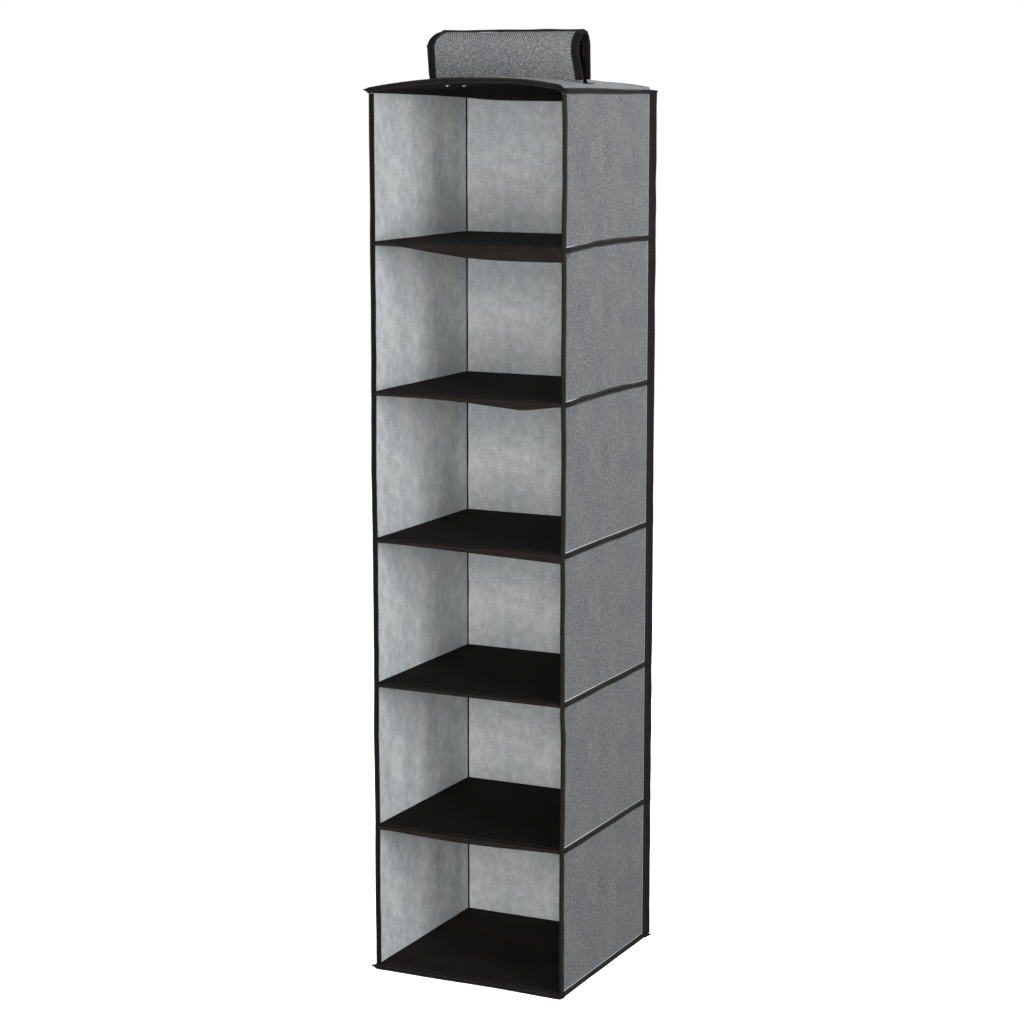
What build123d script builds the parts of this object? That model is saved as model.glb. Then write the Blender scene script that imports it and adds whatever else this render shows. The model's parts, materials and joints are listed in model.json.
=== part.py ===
from build123d import *
import os

os.makedirs("parts", exist_ok=True)

# Hanging closet organizer: six open-fronted fabric tiers between stiffened
# shelves, under a wide strap that wraps a closet rod.
# Millimetres. The origin is the centre of the rod loop, on the rod's axis.
# +X runs along the rod, -Y is the open front, +Z is up.

# ---------------------------------------------------------------- dimensions
WIDTH = 285.0            # outside faces of the side walls
DEPTH = 285.0            # open front edge to the outside of the back wall
TIERS = 6
PITCH = 203.0            # shelf to shelf
Z_TOP = -57.0            # top panel's seam plane, below the rod's axis

WALL = 1.0               # wall fabric with its backing
PLY = 0.8                # non-woven fabric of sleeves, cover and lining
BOARD = 3.0              # stiffener board in the top and in each shelf
TAPE_W = 10.0            # binding tape, folded width
TAPE_T = 0.9             # binding tape, one folded leg
SEAM_T = 1.5             # binding strip with the seam allowance under it
FLANGE_W = 11.0          # rear corner seams stand out at 45 degrees
EAR = 5.0                # tape ends that stick out past the corners

ARCH_FRONT = 13.0        # the strap lifts the middle of the top panel
ARCH_BACK = 11.0

ROD_R = 16.0             # 32 mm closet rod
STRAP_T = 1.6            # strap, face fabric and backing
STRAP_HALF = 113.0       # half the strap's width along the rod
FLAP_END = -36.5         # free end of the strap behind the rod
FOOT_FRONT = (-36.0, -ROD_R)     # strap foot, under its front leg
TAB_Y = 11.8             # closure tab, in front of the flap
TAB_T = 1.0
TAB_TOP = -14.0
FOOT_REAR = (TAB_Y, 36.0)
HOOK_T = 1.4             # hook tape and loop tape
HOOK_X = 92.0            # half length of the hook and loop tapes
HOOK_Z = (-35.5, -17.5)
CROWN_T = 2.4            # bound seam along the crown of the strap
CROWN_TOP = 21.5
CROWN_EAR = 3.0
CROWN_GAP = 4.8          # between the edge tapes of the two panels, at the crown

RIVET_X = (-85.0, 0.0, 85.0)
RIVET_Y = (-27.0, 24.0)
RIVET_R = 2.0
RIVET_HOLE = 2.15
RIVET_HEAD_R = 4.5
RIVET_HEAD_T = 1.2

HALF_W = WIDTH / 2
HALF_D = DEPTH / 2
SHELF_HALF = PLY + BOARD / 2     # a shelf is a board in a two-ply sleeve


def level(k):
    """Middle plane of shelf k; level 0 is the top panel's seam plane."""
    return Z_TOP - k * PITCH


def tier_ends(k):
    """Lower and upper end of the walls of tier k, counted from 1 at the top."""
    low = level(k) + SHELF_HALF
    high = level(k - 1) - (PLY if k == 1 else SHELF_HALF)
    return low, high


def rise(x, y):
    """Height of the arched top panel over its seam plane."""
    t = (y + HALF_D) / DEPTH
    return (ARCH_FRONT * (1 - t) + ARCH_BACK * t) * (1 - (x / HALF_W) ** 2)


def arched_slab(low, high):
    """A slab under the arch, from low to high above the seam plane.

    It is ruled between a front and a back profile, so slabs whose faces have
    the same height fit each other exactly.
    """
    with BuildPart(mode=Mode.PRIVATE) as slab:
        for y, arch in ((-HALF_D, ARCH_FRONT), (HALF_D, ARCH_BACK)):
            with BuildSketch(Plane.XZ.offset(-y)):
                with BuildLine():
                    ThreePointArc(
                        (-HALF_W, Z_TOP + low),
                        (0, Z_TOP + low + arch),
                        (HALF_W, Z_TOP + low),
                    )
                    Line((HALF_W, Z_TOP + low), (HALF_W, Z_TOP + high))
                    ThreePointArc(
                        (HALF_W, Z_TOP + high),
                        (0, Z_TOP + high + arch),
                        (-HALF_W, Z_TOP + high),
                    )
                    Line((-HALF_W, Z_TOP + high), (-HALF_W, Z_TOP + low))
                make_face()
        loft(ruled=True)
    return slab.part


def block(x0, x1, y0, y1, z0, z1, mode=Mode.ADD):
    """Rectangular prism between two corners."""
    with BuildSketch(Plane.XY.offset(z0)) as outline:
        with Locations(((x0 + x1) / 2, (y0 + y1) / 2)):
            Rectangle(x1 - x0, y1 - y0)
    extrude(outline.sketch, amount=z1 - z0, mode=mode)


def keep(name, piece):
    piece.part.label = name
    export_step(piece.part, f"parts/{name}.step")


# ---------------------------------------------------------------- top panel
RIVET_SPOTS = [(x, y) for x in RIVET_X for y in RIVET_Y]

LINING = arched_slab(-PLY, 0)
PANEL = arched_slab(0, BOARD)
COVER = arched_slab(BOARD, BOARD + PLY)
STACK_TOP = BOARD + PLY
BELOW_COVER_TOP = arched_slab(-40, STACK_TOP)

with BuildPart() as top_lining:
    add(LINING)
    with BuildSketch(Plane.XY.offset(Z_TOP - 5)):
        with Locations(*RIVET_SPOTS):
            Circle(RIVET_HOLE)
    extrude(amount=30, mode=Mode.SUBTRACT)
keep("top_lining", top_lining)

with BuildPart() as top_board:
    add(PANEL)
    with BuildSketch(Plane.XY.offset(Z_TOP - 5)):
        with Locations(*RIVET_SPOTS):
            Circle(RIVET_HOLE)
    extrude(amount=40, mode=Mode.SUBTRACT)
keep("top_board", top_board)

with BuildPart() as top_cover:
    add(COVER)
    with BuildSketch(Plane.XY.offset(Z_TOP - 5)):
        with Locations(*RIVET_SPOTS):
            Circle(RIVET_HOLE)
    extrude(amount=40, mode=Mode.SUBTRACT)
keep("top_cover", top_cover)

# Tape round the top panel's edges: arched strips along the front and the back,
# straight strips along the sides, and tape ends past the front corners.
with BuildPart() as top_binding:
    with BuildSketch(Plane.XZ.offset(HALF_D)):
        with BuildLine():
            ThreePointArc(
                (-HALF_W, Z_TOP - 5), (0, Z_TOP - 5 + ARCH_FRONT), (HALF_W, Z_TOP - 5)
            )
            Line((HALF_W, Z_TOP - 5), (HALF_W + EAR, Z_TOP - 4))
            Line((HALF_W + EAR, Z_TOP - 4), (HALF_W + EAR, Z_TOP + 3))
            Line((HALF_W + EAR, Z_TOP + 3), (HALF_W, Z_TOP + 5))
            ThreePointArc(
                (HALF_W, Z_TOP + 5), (0, Z_TOP + 5 + ARCH_FRONT), (-HALF_W, Z_TOP + 5)
            )
            Line((-HALF_W, Z_TOP + 5), (-HALF_W - EAR, Z_TOP + 3))
            Line((-HALF_W - EAR, Z_TOP + 3), (-HALF_W - EAR, Z_TOP - 4))
            Line((-HALF_W - EAR, Z_TOP - 4), (-HALF_W, Z_TOP - 5))
        make_face()
    extrude(amount=SEAM_T)
    block(HALF_W, HALF_W + SEAM_T, -HALF_D, HALF_D - 1, Z_TOP - 5, Z_TOP + 5)
    block(-HALF_W - SEAM_T, -HALF_W, -HALF_D, HALF_D - 1, Z_TOP - 5, Z_TOP + 5)
    with BuildSketch(Plane.XZ.offset(-HALF_D)):
        with BuildLine():
            ThreePointArc(
                (-HALF_W + 1, Z_TOP - 5), (0, Z_TOP - 5 + ARCH_BACK), (HALF_W - 1, Z_TOP - 5)
            )
            Line((HALF_W - 1, Z_TOP - 5), (HALF_W - 1, Z_TOP + 5))
            ThreePointArc(
                (HALF_W - 1, Z_TOP + 5), (0, Z_TOP + 5 + ARCH_BACK), (-HALF_W + 1, Z_TOP + 5)
            )
            Line((-HALF_W + 1, Z_TOP + 5), (-HALF_W + 1, Z_TOP - 5))
        make_face()
    extrude(amount=-SEAM_T)
keep("top_binding", top_binding)

# ---------------------------------------------------------------- rod strap
# The strap is two panels joined by a bound seam along its crown. The front
# panel is sewn to a foot on the top panel, rises in front of the rod and bends
# to the crown. The rear panel bends down behind the rod, where hook tape on
# its inside meets loop tape on a tab that stands up from the top panel.
STRAP_R = ROD_R + STRAP_T
COS45 = 0.5 ** 0.5

with BuildPart() as strap_front:
    add(arched_slab(STACK_TOP, STACK_TOP + STRAP_T))
    block(-STRAP_HALF, STRAP_HALF, FOOT_FRONT[0], FOOT_FRONT[1], Z_TOP - 5, 0, Mode.INTERSECT)
    with BuildSketch(Plane.YZ.offset(-STRAP_HALF)):
        with BuildLine():
            Line((-STRAP_R, Z_TOP), (-STRAP_R, 0))
            ThreePointArc((-STRAP_R, 0), (-STRAP_R * COS45, STRAP_R * COS45), (0, STRAP_R))
            Line((0, STRAP_R), (0, ROD_R))
            ThreePointArc((0, ROD_R), (-ROD_R * COS45, ROD_R * COS45), (-ROD_R, 0))
            Line((-ROD_R, 0), (-ROD_R, Z_TOP))
            Line((-ROD_R, Z_TOP), (-STRAP_R, Z_TOP))
        make_face()
    extrude(amount=2 * STRAP_HALF)
    add(BELOW_COVER_TOP, mode=Mode.SUBTRACT)
    with BuildSketch(Plane.XY.offset(Z_TOP)):
        with Locations(*RIVET_SPOTS):
            Circle(RIVET_HOLE)
    extrude(amount=40, mode=Mode.SUBTRACT)
keep("strap_front", strap_front)

with BuildPart() as strap_rear:
    with BuildSketch(Plane.YZ.offset(-STRAP_HALF)):
        with BuildLine():
            Line((STRAP_R, FLAP_END), (STRAP_R, 0))
            ThreePointArc((STRAP_R, 0), (STRAP_R * COS45, STRAP_R * COS45), (0, STRAP_R))
            Line((0, STRAP_R), (0, ROD_R))
            ThreePointArc((0, ROD_R), (ROD_R * COS45, ROD_R * COS45), (ROD_R, 0))
            Line((ROD_R, 0), (ROD_R, FLAP_END))
            Line((ROD_R, FLAP_END), (STRAP_R, FLAP_END))
        make_face()
    extrude(amount=2 * STRAP_HALF)
    fillet(strap_rear.edges().filter_by(Axis.Y).group_by(Axis.Z)[0], 6)
keep("strap_rear", strap_rear)

with BuildPart() as strap_tab:
    add(arched_slab(STACK_TOP, STACK_TOP + TAB_T))
    block(-STRAP_HALF + 6, STRAP_HALF - 6, FOOT_REAR[0], FOOT_REAR[1], Z_TOP - 5, 0, Mode.INTERSECT)
    block(-STRAP_HALF + 6, STRAP_HALF - 6, TAB_Y, TAB_Y + TAB_T, Z_TOP, TAB_TOP)
    add(BELOW_COVER_TOP, mode=Mode.SUBTRACT)
    with BuildSketch(Plane.XY.offset(Z_TOP)):
        with Locations(*RIVET_SPOTS):
            Circle(RIVET_HOLE)
    extrude(amount=40, mode=Mode.SUBTRACT)
keep("strap_tab", strap_tab)

with BuildPart() as loop_tape:
    with BuildSketch(Plane.XZ.offset(-TAB_Y - TAB_T)):
        with Locations((0, sum(HOOK_Z) / 2)):
            RectangleRounded(2 * HOOK_X, HOOK_Z[1] - HOOK_Z[0], 2)
    extrude(amount=-HOOK_T)
keep("loop_tape", loop_tape)

with BuildPart() as hook_tape:
    with BuildSketch(Plane.XZ.offset(-ROD_R + HOOK_T)):
        with Locations((0, sum(HOOK_Z) / 2)):
            RectangleRounded(2 * HOOK_X, HOOK_Z[1] - HOOK_Z[0], 2)
    extrude(amount=-HOOK_T)
keep("hook_tape", hook_tape)

# Binding tape on the outer face of the strap's edges.
TAPE_R = STRAP_R + TAPE_T

with BuildPart() as strap_front_binding:
    for x0 in (-STRAP_HALF, STRAP_HALF - TAPE_W):
        with BuildSketch(Plane.YZ.offset(x0)):
            with BuildLine():
                Line((-TAPE_R, Z_TOP), (-TAPE_R, 0))
                ThreePointArc((-TAPE_R, 0), (-TAPE_R * COS45, TAPE_R * COS45), (0, TAPE_R))
                Line((0, TAPE_R), (0, STRAP_R))
                ThreePointArc((0, STRAP_R), (-STRAP_R * COS45, STRAP_R * COS45), (-STRAP_R, 0))
                Line((-STRAP_R, 0), (-STRAP_R, Z_TOP))
                Line((-STRAP_R, Z_TOP), (-TAPE_R, Z_TOP))
            make_face()
            with Locations((0, CROWN_TOP)):
                Rectangle(CROWN_GAP, 2 * CROWN_TOP, mode=Mode.SUBTRACT)
        extrude(amount=TAPE_W)
    add(arched_slab(-40, STACK_TOP + STRAP_T), mode=Mode.SUBTRACT)
keep("strap_front_binding", strap_front_binding)

with BuildPart() as strap_rear_binding:
    for x0 in (-STRAP_HALF, STRAP_HALF - TAPE_W):
        with BuildSketch(Plane.YZ.offset(x0)):
            with BuildLine():
                Line((TAPE_R, FLAP_END), (TAPE_R, 0))
                ThreePointArc((TAPE_R, 0), (TAPE_R * COS45, TAPE_R * COS45), (0, TAPE_R))
                Line((0, TAPE_R), (0, STRAP_R))
                ThreePointArc((0, STRAP_R), (STRAP_R * COS45, STRAP_R * COS45), (STRAP_R, 0))
                Line((STRAP_R, 0), (STRAP_R, FLAP_END))
                Line((STRAP_R, FLAP_END), (TAPE_R, FLAP_END))
            make_face()
            with Locations((0, CROWN_TOP)):
                Rectangle(CROWN_GAP, 2 * CROWN_TOP, mode=Mode.SUBTRACT)
        extrude(amount=TAPE_W)
    block(
        -STRAP_HALF + TAPE_W, STRAP_HALF - TAPE_W,
        STRAP_R, TAPE_R, FLAP_END, FLAP_END + TAPE_W,
    )
    outer = strap_rear_binding.edges().filter_by(Axis.Y).group_by(Axis.Z)[0].sort_by(Axis.X)
    fillet([outer[0], outer[-1]], 6)
keep("strap_rear_binding", strap_rear_binding)

# Bound seam that stands up along the crown, with its tape ends past the sides.
with BuildPart() as crown_binding:
    with BuildSketch(Plane.YZ.offset(-STRAP_HALF - CROWN_EAR)):
        with Locations((0, CROWN_TOP / 2)):
            Rectangle(CROWN_T, CROWN_TOP)
        Circle(ROD_R + STRAP_T, mode=Mode.SUBTRACT)
    extrude(amount=2 * (STRAP_HALF + CROWN_EAR))
    fillet(crown_binding.edges().filter_by(Axis.X).group_by(Axis.Z)[-1], 0.8)
keep("crown_binding", crown_binding)

# Rivets clamp the strap's feet to the panel: a head on top, a shank through
# the cover, board and lining, and a washer under the lining.
with BuildPart() as rivets:
    for x, y in RIVET_SPOTS:
        foot = STACK_TOP + (STRAP_T if y < 0 else TAB_T)
        z = Z_TOP + rise(x, y) + foot
        with BuildSketch(Plane.XY.offset(z - 2)):
            with Locations((x, y)):
                Circle(RIVET_HEAD_R)
        extrude(amount=2 + RIVET_HEAD_T)
    rims = [head.edges().filter_by(GeomType.CIRCLE).sort_by(Axis.Z)[-1] for head in rivets.solids()]
    fillet(rims, 0.7)
    for x, y in RIVET_SPOTS:
        foot = STACK_TOP + (STRAP_T if y < 0 else TAB_T)
        with BuildPart(mode=Mode.PRIVATE) as under_head:
            add(arched_slab(-40, foot))
            block(x - 8, x + 8, y - 8, y + 8, Z_TOP - 30, Z_TOP + 40, Mode.INTERSECT)
        add(under_head.part, mode=Mode.SUBTRACT)
    for x, y in RIVET_SPOTS:
        foot = STACK_TOP + (STRAP_T if y < 0 else TAB_T)
        z = Z_TOP + rise(x, y)
        with BuildSketch(Plane.XY.offset(z - PLY - RIVET_HEAD_T - 0.9)):
            with Locations((x, y)):
                Circle(RIVET_R)
        extrude(amount=PLY + RIVET_HEAD_T + 0.9 + foot + 0.6)
keep("rivets", rivets)

with BuildPart() as washers:
    for x, y in RIVET_SPOTS:
        z = Z_TOP + rise(x, y) - PLY
        with BuildSketch(Plane.XY.offset(z - RIVET_HEAD_T)):
            with Locations((x, y)):
                Circle(RIVET_HEAD_R)
                Circle(RIVET_HOLE, mode=Mode.SUBTRACT)
        extrude(amount=RIVET_HEAD_T + 2)
    add(arched_slab(-PLY, 60), mode=Mode.SUBTRACT)
keep("washers", washers)

# ---------------------------------------------------------------- tiers
for k in range(1, TIERS + 1):
    low, high = tier_ends(k)

    with BuildPart() as left_wall:
        block(-HALF_W, -HALF_W + WALL, -HALF_D, HALF_D, low, high)
    keep(f"left_wall_{k}", left_wall)

    with BuildPart() as right_wall:
        block(HALF_W - WALL, HALF_W, -HALF_D, HALF_D, low, high)
    keep(f"right_wall_{k}", right_wall)

    # The top tier's back wall reaches up into the arch.
    with BuildPart() as back_wall:
        top = high if k > 1 else Z_TOP + ARCH_BACK + 2
        block(-HALF_W + WALL, HALF_W - WALL, HALF_D - WALL, HALF_D, low, top)
        if k == 1:
            add(arched_slab(-PLY, 60), mode=Mode.SUBTRACT)
    keep(f"back_wall_{k}", back_wall)

    # Tape folded round the front edges of the side walls, and the bound rear
    # corner seams, which stand out from the corners.
    tape_low = low if k < TIERS else level(TIERS) + 5.3
    tape_high = high if k > 1 else Z_TOP - 5.3
    with BuildPart() as corner_binding:
        with BuildSketch(Plane.XY.offset(tape_low)):
            for side in (-1, 1):
                with Locations((side * (HALF_W - WALL / 2), -HALF_D + (TAPE_W - TAPE_T) / 2)):
                    Rectangle(WALL + 2 * TAPE_T, TAPE_W + TAPE_T)
        extrude(amount=tape_high - tape_low)
        fillet(
            corner_binding.edges().filter_by(Axis.Z).group_by(Axis.Y)[0], TAPE_T * 0.8
        )
        block(-HALF_W, -HALF_W + WALL, -HALF_D, HALF_D, low - 1, high + 1, Mode.SUBTRACT)
        block(HALF_W - WALL, HALF_W, -HALF_D, HALF_D, low - 1, high + 1, Mode.SUBTRACT)
        with BuildSketch(Plane.XY.offset(tape_low)):
            for side, turn in ((1, 45), (-1, 135)):
                reach = FLANGE_W / 2 / 2 ** 0.5
                with Locations(
                    Location((side * (HALF_W + reach), HALF_D + reach, 0), (0, 0, turn))
                ):
                    Rectangle(FLANGE_W, 2.0)
        extrude(amount=tape_high - tape_low)
    keep(f"corner_binding_{k}", corner_binding)

# ---------------------------------------------------------------- shelves
for k in range(1, TIERS + 1):
    z = level(k)
    last = k == TIERS
    word = "base" if last else "shelf"
    tail = "" if last else f"_{k}"

    # Sleeve: a flat tube of non-woven, open towards the side walls.
    with BuildPart() as sleeve:
        with BuildSketch(Plane.YZ.offset(-HALF_W)):
            with Locations((0, z)):
                RectangleRounded(DEPTH, 2 * SHELF_HALF, 1.6)
                Rectangle(DEPTH - 2 * PLY, BOARD, mode=Mode.SUBTRACT)
        extrude(amount=WIDTH)
    keep(f"{word}_sleeve{tail}", sleeve)

    with BuildPart() as stiffener:
        with BuildSketch(Plane.XY.offset(z - BOARD / 2)):
            Rectangle(WIDTH - 2, DEPTH - 2 * PLY)
        extrude(amount=BOARD)
    keep(f"{word}_board{tail}", stiffener)

    # Tape over the seams that join the shelf to the walls.
    with BuildPart() as strips:
        y_front = -HALF_D - SEAM_T if last else -HALF_D + TAPE_W + 1
        for side in (-1, 1):
            x0, x1 = sorted((side * HALF_W, side * (HALF_W + SEAM_T)))
            block(x0, x1, y_front, HALF_D - 1, z - 5, z + 5)
        block(-HALF_W + 1, HALF_W - 1, HALF_D, HALF_D + SEAM_T, z - 5, z + 5)
        if last:
            with BuildSketch(Plane.XZ.offset(HALF_D)):
                with BuildLine():
                    Polyline(
                        (-HALF_W - EAR, z - 4), (HALF_W + EAR, z - 4),
                        (HALF_W + EAR, z + 3), (HALF_W, z + 5),
                        (-HALF_W, z + 5), (-HALF_W - EAR, z + 3),
                        (-HALF_W - EAR, z - 4),
                    )
                make_face()
            extrude(amount=SEAM_T)
    keep(f"{word}_binding{tail}", strips)
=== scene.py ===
import json
import math

import bpy
import numpy as np
from mathutils import Matrix, Vector


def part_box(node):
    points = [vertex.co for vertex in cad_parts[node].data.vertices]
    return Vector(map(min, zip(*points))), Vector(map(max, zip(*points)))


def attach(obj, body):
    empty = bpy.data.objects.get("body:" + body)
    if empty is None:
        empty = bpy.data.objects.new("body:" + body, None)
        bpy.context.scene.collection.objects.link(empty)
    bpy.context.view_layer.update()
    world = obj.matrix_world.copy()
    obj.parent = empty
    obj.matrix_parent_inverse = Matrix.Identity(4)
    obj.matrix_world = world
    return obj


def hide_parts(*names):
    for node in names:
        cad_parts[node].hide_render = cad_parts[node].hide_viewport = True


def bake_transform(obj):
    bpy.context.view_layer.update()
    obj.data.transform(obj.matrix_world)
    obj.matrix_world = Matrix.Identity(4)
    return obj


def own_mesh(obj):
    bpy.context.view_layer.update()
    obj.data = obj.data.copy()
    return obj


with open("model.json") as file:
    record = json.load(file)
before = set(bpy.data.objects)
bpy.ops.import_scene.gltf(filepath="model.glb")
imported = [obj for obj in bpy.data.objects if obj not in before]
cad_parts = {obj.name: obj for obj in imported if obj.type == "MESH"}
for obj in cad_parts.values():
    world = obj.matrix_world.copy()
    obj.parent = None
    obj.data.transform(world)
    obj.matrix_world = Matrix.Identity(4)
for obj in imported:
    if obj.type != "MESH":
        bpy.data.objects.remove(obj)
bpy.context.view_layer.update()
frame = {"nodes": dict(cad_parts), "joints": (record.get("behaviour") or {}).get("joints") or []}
MM = 0.001

# ------------------------------------------------------------------ the frame
_lo, _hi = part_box("right_wall_1")
HW, YF, YB = _hi.x, _lo.y, _hi.y            # outer face of a side wall, open front, back
WT = _hi.x - _lo.x                          # wall thickness
D = YB - YF
TIERS = sum(n.startswith("left_wall_") for n in frame["nodes"])


def middle(node):
    lo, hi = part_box(node)
    return (lo + hi) / 2


LEVEL = [middle("top_binding").z] + [0.0] * TIERS
Z_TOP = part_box("left_wall_1")[1].z + 0.8 * MM
LEVEL[0] = Z_TOP
for _k in range(1, TIERS):
    LEVEL[_k] = middle(f"shelf_sleeve_{_k}").z
LEVEL[TIERS] = middle("base_sleeve").z
SH = (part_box("base_sleeve")[1].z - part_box("base_sleeve")[0].z) / 2
PITCH = LEVEL[1] - LEVEL[2]
ARCH_F, ARCH_B = 13 * MM, 11 * MM
STACK = 3.8 * MM                            # board and cover over the seam plane
STRAP_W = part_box("strap_front")[1].x        # half the strap's width
ROD_R = 16 * MM
BODY = ["top"] + [f"shelf_{k}" for k in range(1, TIERS)] + ["base"]

# ------------------------------------------------------------------ the camera
YAW, PITCH_DOWN, DIST = math.radians(25.91), math.radians(9.50), 3.562
cam_data = bpy.data.cameras.new("camera")
cam = bpy.data.objects.new("camera", cam_data)
bpy.context.scene.collection.objects.link(cam)
cam_data.sensor_width = 36.0
cam_data.lens = 36.0 * 2590.0 / 1024.0
cam_data.clip_start, cam_data.clip_end = 0.05, 60.0
_fwd = Vector((-math.sin(YAW) * math.cos(PITCH_DOWN), math.cos(YAW) * math.cos(PITCH_DOWN), -math.sin(PITCH_DOWN)))
_right = Vector((math.cos(YAW), math.sin(YAW), 0))
_up = _right.cross(_fwd)
cam.matrix_world = Matrix((
    (_right.x, _up.x, -_fwd.x, math.sin(YAW) * DIST),
    (_right.y, _up.y, -_fwd.y, -math.cos(YAW) * DIST),
    (_right.z, _up.z, -_fwd.z, Z_TOP + 0.016),
    (0, 0, 0, 1),
))
bpy.context.scene.camera = cam


# ------------------------------------------------------------------ mesh tools
class Build:
    """Collects vertices, faces with a material each, and UVs in metres."""

    def __init__(self):
        self.v, self.f, self.m, self.uv, self.n = [], [], [], [], 0

    def verts(self, points):
        points = np.asarray(points, float)
        idx = np.arange(points[..., 0].size).reshape(points.shape[:-1]) + self.n
        self.v.append(points.reshape(-1, 3))
        self.n += idx.size
        return idx

    def quads(self, idx, uv=None, mat=0, flip=False, close=False):
        """idx is a grid of vertex numbers; close joins the last column to the first. uv is a grid in metres, one column wider if close."""
        if close:
            idx = np.concatenate([idx, idx[:, :1]], axis=1)
        a, b, c, d = idx[:-1, :-1], idx[1:, :-1], idx[1:, 1:], idx[:-1, 1:]
        q = np.stack([a, b, c, d], -1).reshape(-1, 4)
        if uv is None:
            t = np.zeros((*q.shape, 2))
        else:
            u = np.asarray(uv, float)
            t = np.stack([u[:-1, :-1], u[1:, :-1], u[1:, 1:], u[:-1, 1:]], -2).reshape(-1, 4, 2)
        if flip:
            q, t = q[:, ::-1], t[:, ::-1]
        self.f.extend(map(tuple, q.tolist()))
        self.m.extend([mat] * len(q))
        self.uv.extend(t.reshape(len(q), -1).tolist())

    def face(self, idx, mat=0, uv=None):
        self.f.append(tuple(int(i) for i in idx))
        self.m.append(mat)
        self.uv.append([0.0] * (2 * len(idx)) if uv is None else list(np.asarray(uv, float).ravel()))

    def slab(self, outer, inner, uv, mats=(0, 1, 0)):
        """A closed sheet between two grids of points. mats are those of the outer face, the inner face and the rim."""
        o, i = self.verts(outer), self.verts(inner)
        self.quads(o, uv, mats[0])
        self.quads(i, uv, mats[1], flip=True)
        for a, b, t, flip in (
            (o[0], i[0], uv[0], True),
            (o[-1], i[-1], uv[-1], False),
            (o[:, 0], i[:, 0], uv[:, 0], False),
            (o[:, -1], i[:, -1], uv[:, -1], True),
        ):
            self.quads(np.stack([a, b]), np.stack([t, t]), mats[2], flip=flip)

    def sweep(self, path, across, out, profile, mat=0, scale=None, thick=None, caps=True):
        """A closed profile of (across, out) points carried along path."""
        path, across, out = (np.asarray(x, float) for x in (path, across, out))
        n = len(path)
        across = np.broadcast_to(across, (n, 3))
        out = np.broadcast_to(out, (n, 3))
        prof = np.asarray(profile, float)
        s = np.ones(n) if scale is None else np.asarray(scale, float)
        t = np.ones(n) if thick is None else np.asarray(thick, float)
        pts = (
            path[:, None, :]
            + across[:, None, :] * (prof[None, :, 0, None] * s[:, None, None])
            + out[:, None, :] * (prof[None, :, 1, None] * t[:, None, None])
        )
        idx = self.verts(pts)
        run = np.concatenate([[0], np.cumsum(np.linalg.norm(np.diff(path, axis=0), axis=1))])
        closed = np.concatenate([prof, prof[:1]])
        round_ = np.concatenate([[0], np.cumsum(np.linalg.norm(np.diff(closed, axis=0), axis=1))])
        uv = np.stack(np.meshgrid(run, round_, indexing="ij"), -1)
        self.quads(idx, uv, mat, close=True)
        if caps:
            self.face(idx[0], mat)
            self.face(idx[-1][::-1], mat)
        return run

    def stitches(self, path, normal, mat, length=2.9 * MM, gap=1.5 * MM, r=0.28 * MM, lift=0.0, skew=0.0):
        """A row of thread stitches that lie on a path, each dipping into the cloth at its ends."""
        path = np.asarray(path, float)
        normal = np.broadcast_to(np.asarray(normal, float), path.shape)
        run = np.concatenate([[0], np.cumsum(np.linalg.norm(np.diff(path, axis=0), axis=1))])
        count = int((run[-1] - gap) // (length + gap))
        if count < 1:
            return
        start = (run[-1] - count * (length + gap) + gap) / 2
        s0 = start + np.arange(count) * (length + gap)
        steps = np.array([0.0, 0.22, 0.78, 1.0])
        rad = np.array([0.45, 1.0, 1.0, 0.45]) * r
        dip = np.array([-0.8, 0.35, 0.35, -0.8]) * r
        s = s0[:, None] + steps[None, :] * length
        at = np.stack([np.interp(s, run, path[:, c]) for c in range(3)], -1)
        nrm = np.stack([np.interp(s, run, normal[:, c]) for c in range(3)], -1)
        nrm /= np.linalg.norm(nrm, axis=-1, keepdims=True)
        tan = at[:, -1] - at[:, 0]
        tan /= np.linalg.norm(tan, axis=-1, keepdims=True)
        side = np.cross(np.repeat(tan[:, None], 4, 1), nrm)
        at = at + nrm * (dip[None, :, None] + lift) + side * ((steps - 0.5)[None, :, None] * skew)
        ang = np.arange(6) * math.pi / 3
        ring = (
            at[:, :, None, :]
            + side[:, :, None, :] * (np.cos(ang)[None, None, :, None] * rad[None, :, None, None])
            + nrm[:, :, None, :] * (np.sin(ang)[None, None, :, None] * rad[None, :, None, None])
        )
        for one in ring:
            idx = self.verts(one)
            self.quads(idx, None, mat, close=True, flip=True)
            self.face(idx[0][::-1], mat)
            self.face(idx[-1], mat)

    def make(self, name, materials, sharp=38, outward=True):
        me = bpy.data.meshes.new(name)
        v = np.concatenate(self.v)
        me.from_pydata(v.tolist(), [], self.f)
        for m in materials:
            me.materials.append(m)
        me.polygons.foreach_set("material_index", np.array(self.m, np.int32))
        layer = me.uv_layers.new(name="cloth")
        flat = np.array([x for row in self.uv for x in row], np.float32)
        layer.data.foreach_set("uv", flat)
        me.polygons.foreach_set("use_smooth", np.ones(len(self.f), bool))
        me.update()
        if outward:
            import bmesh

            bm = bmesh.new()
            bm.from_mesh(me)
            bmesh.ops.recalc_face_normals(bm, faces=bm.faces)
            bm.to_mesh(me)
            bm.free()
        me.set_sharp_from_angle(angle=math.radians(sharp))
        me.validate()
        ob = bpy.data.objects.new(name, me)
        bpy.context.scene.collection.objects.link(ob)
        return ob


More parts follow.
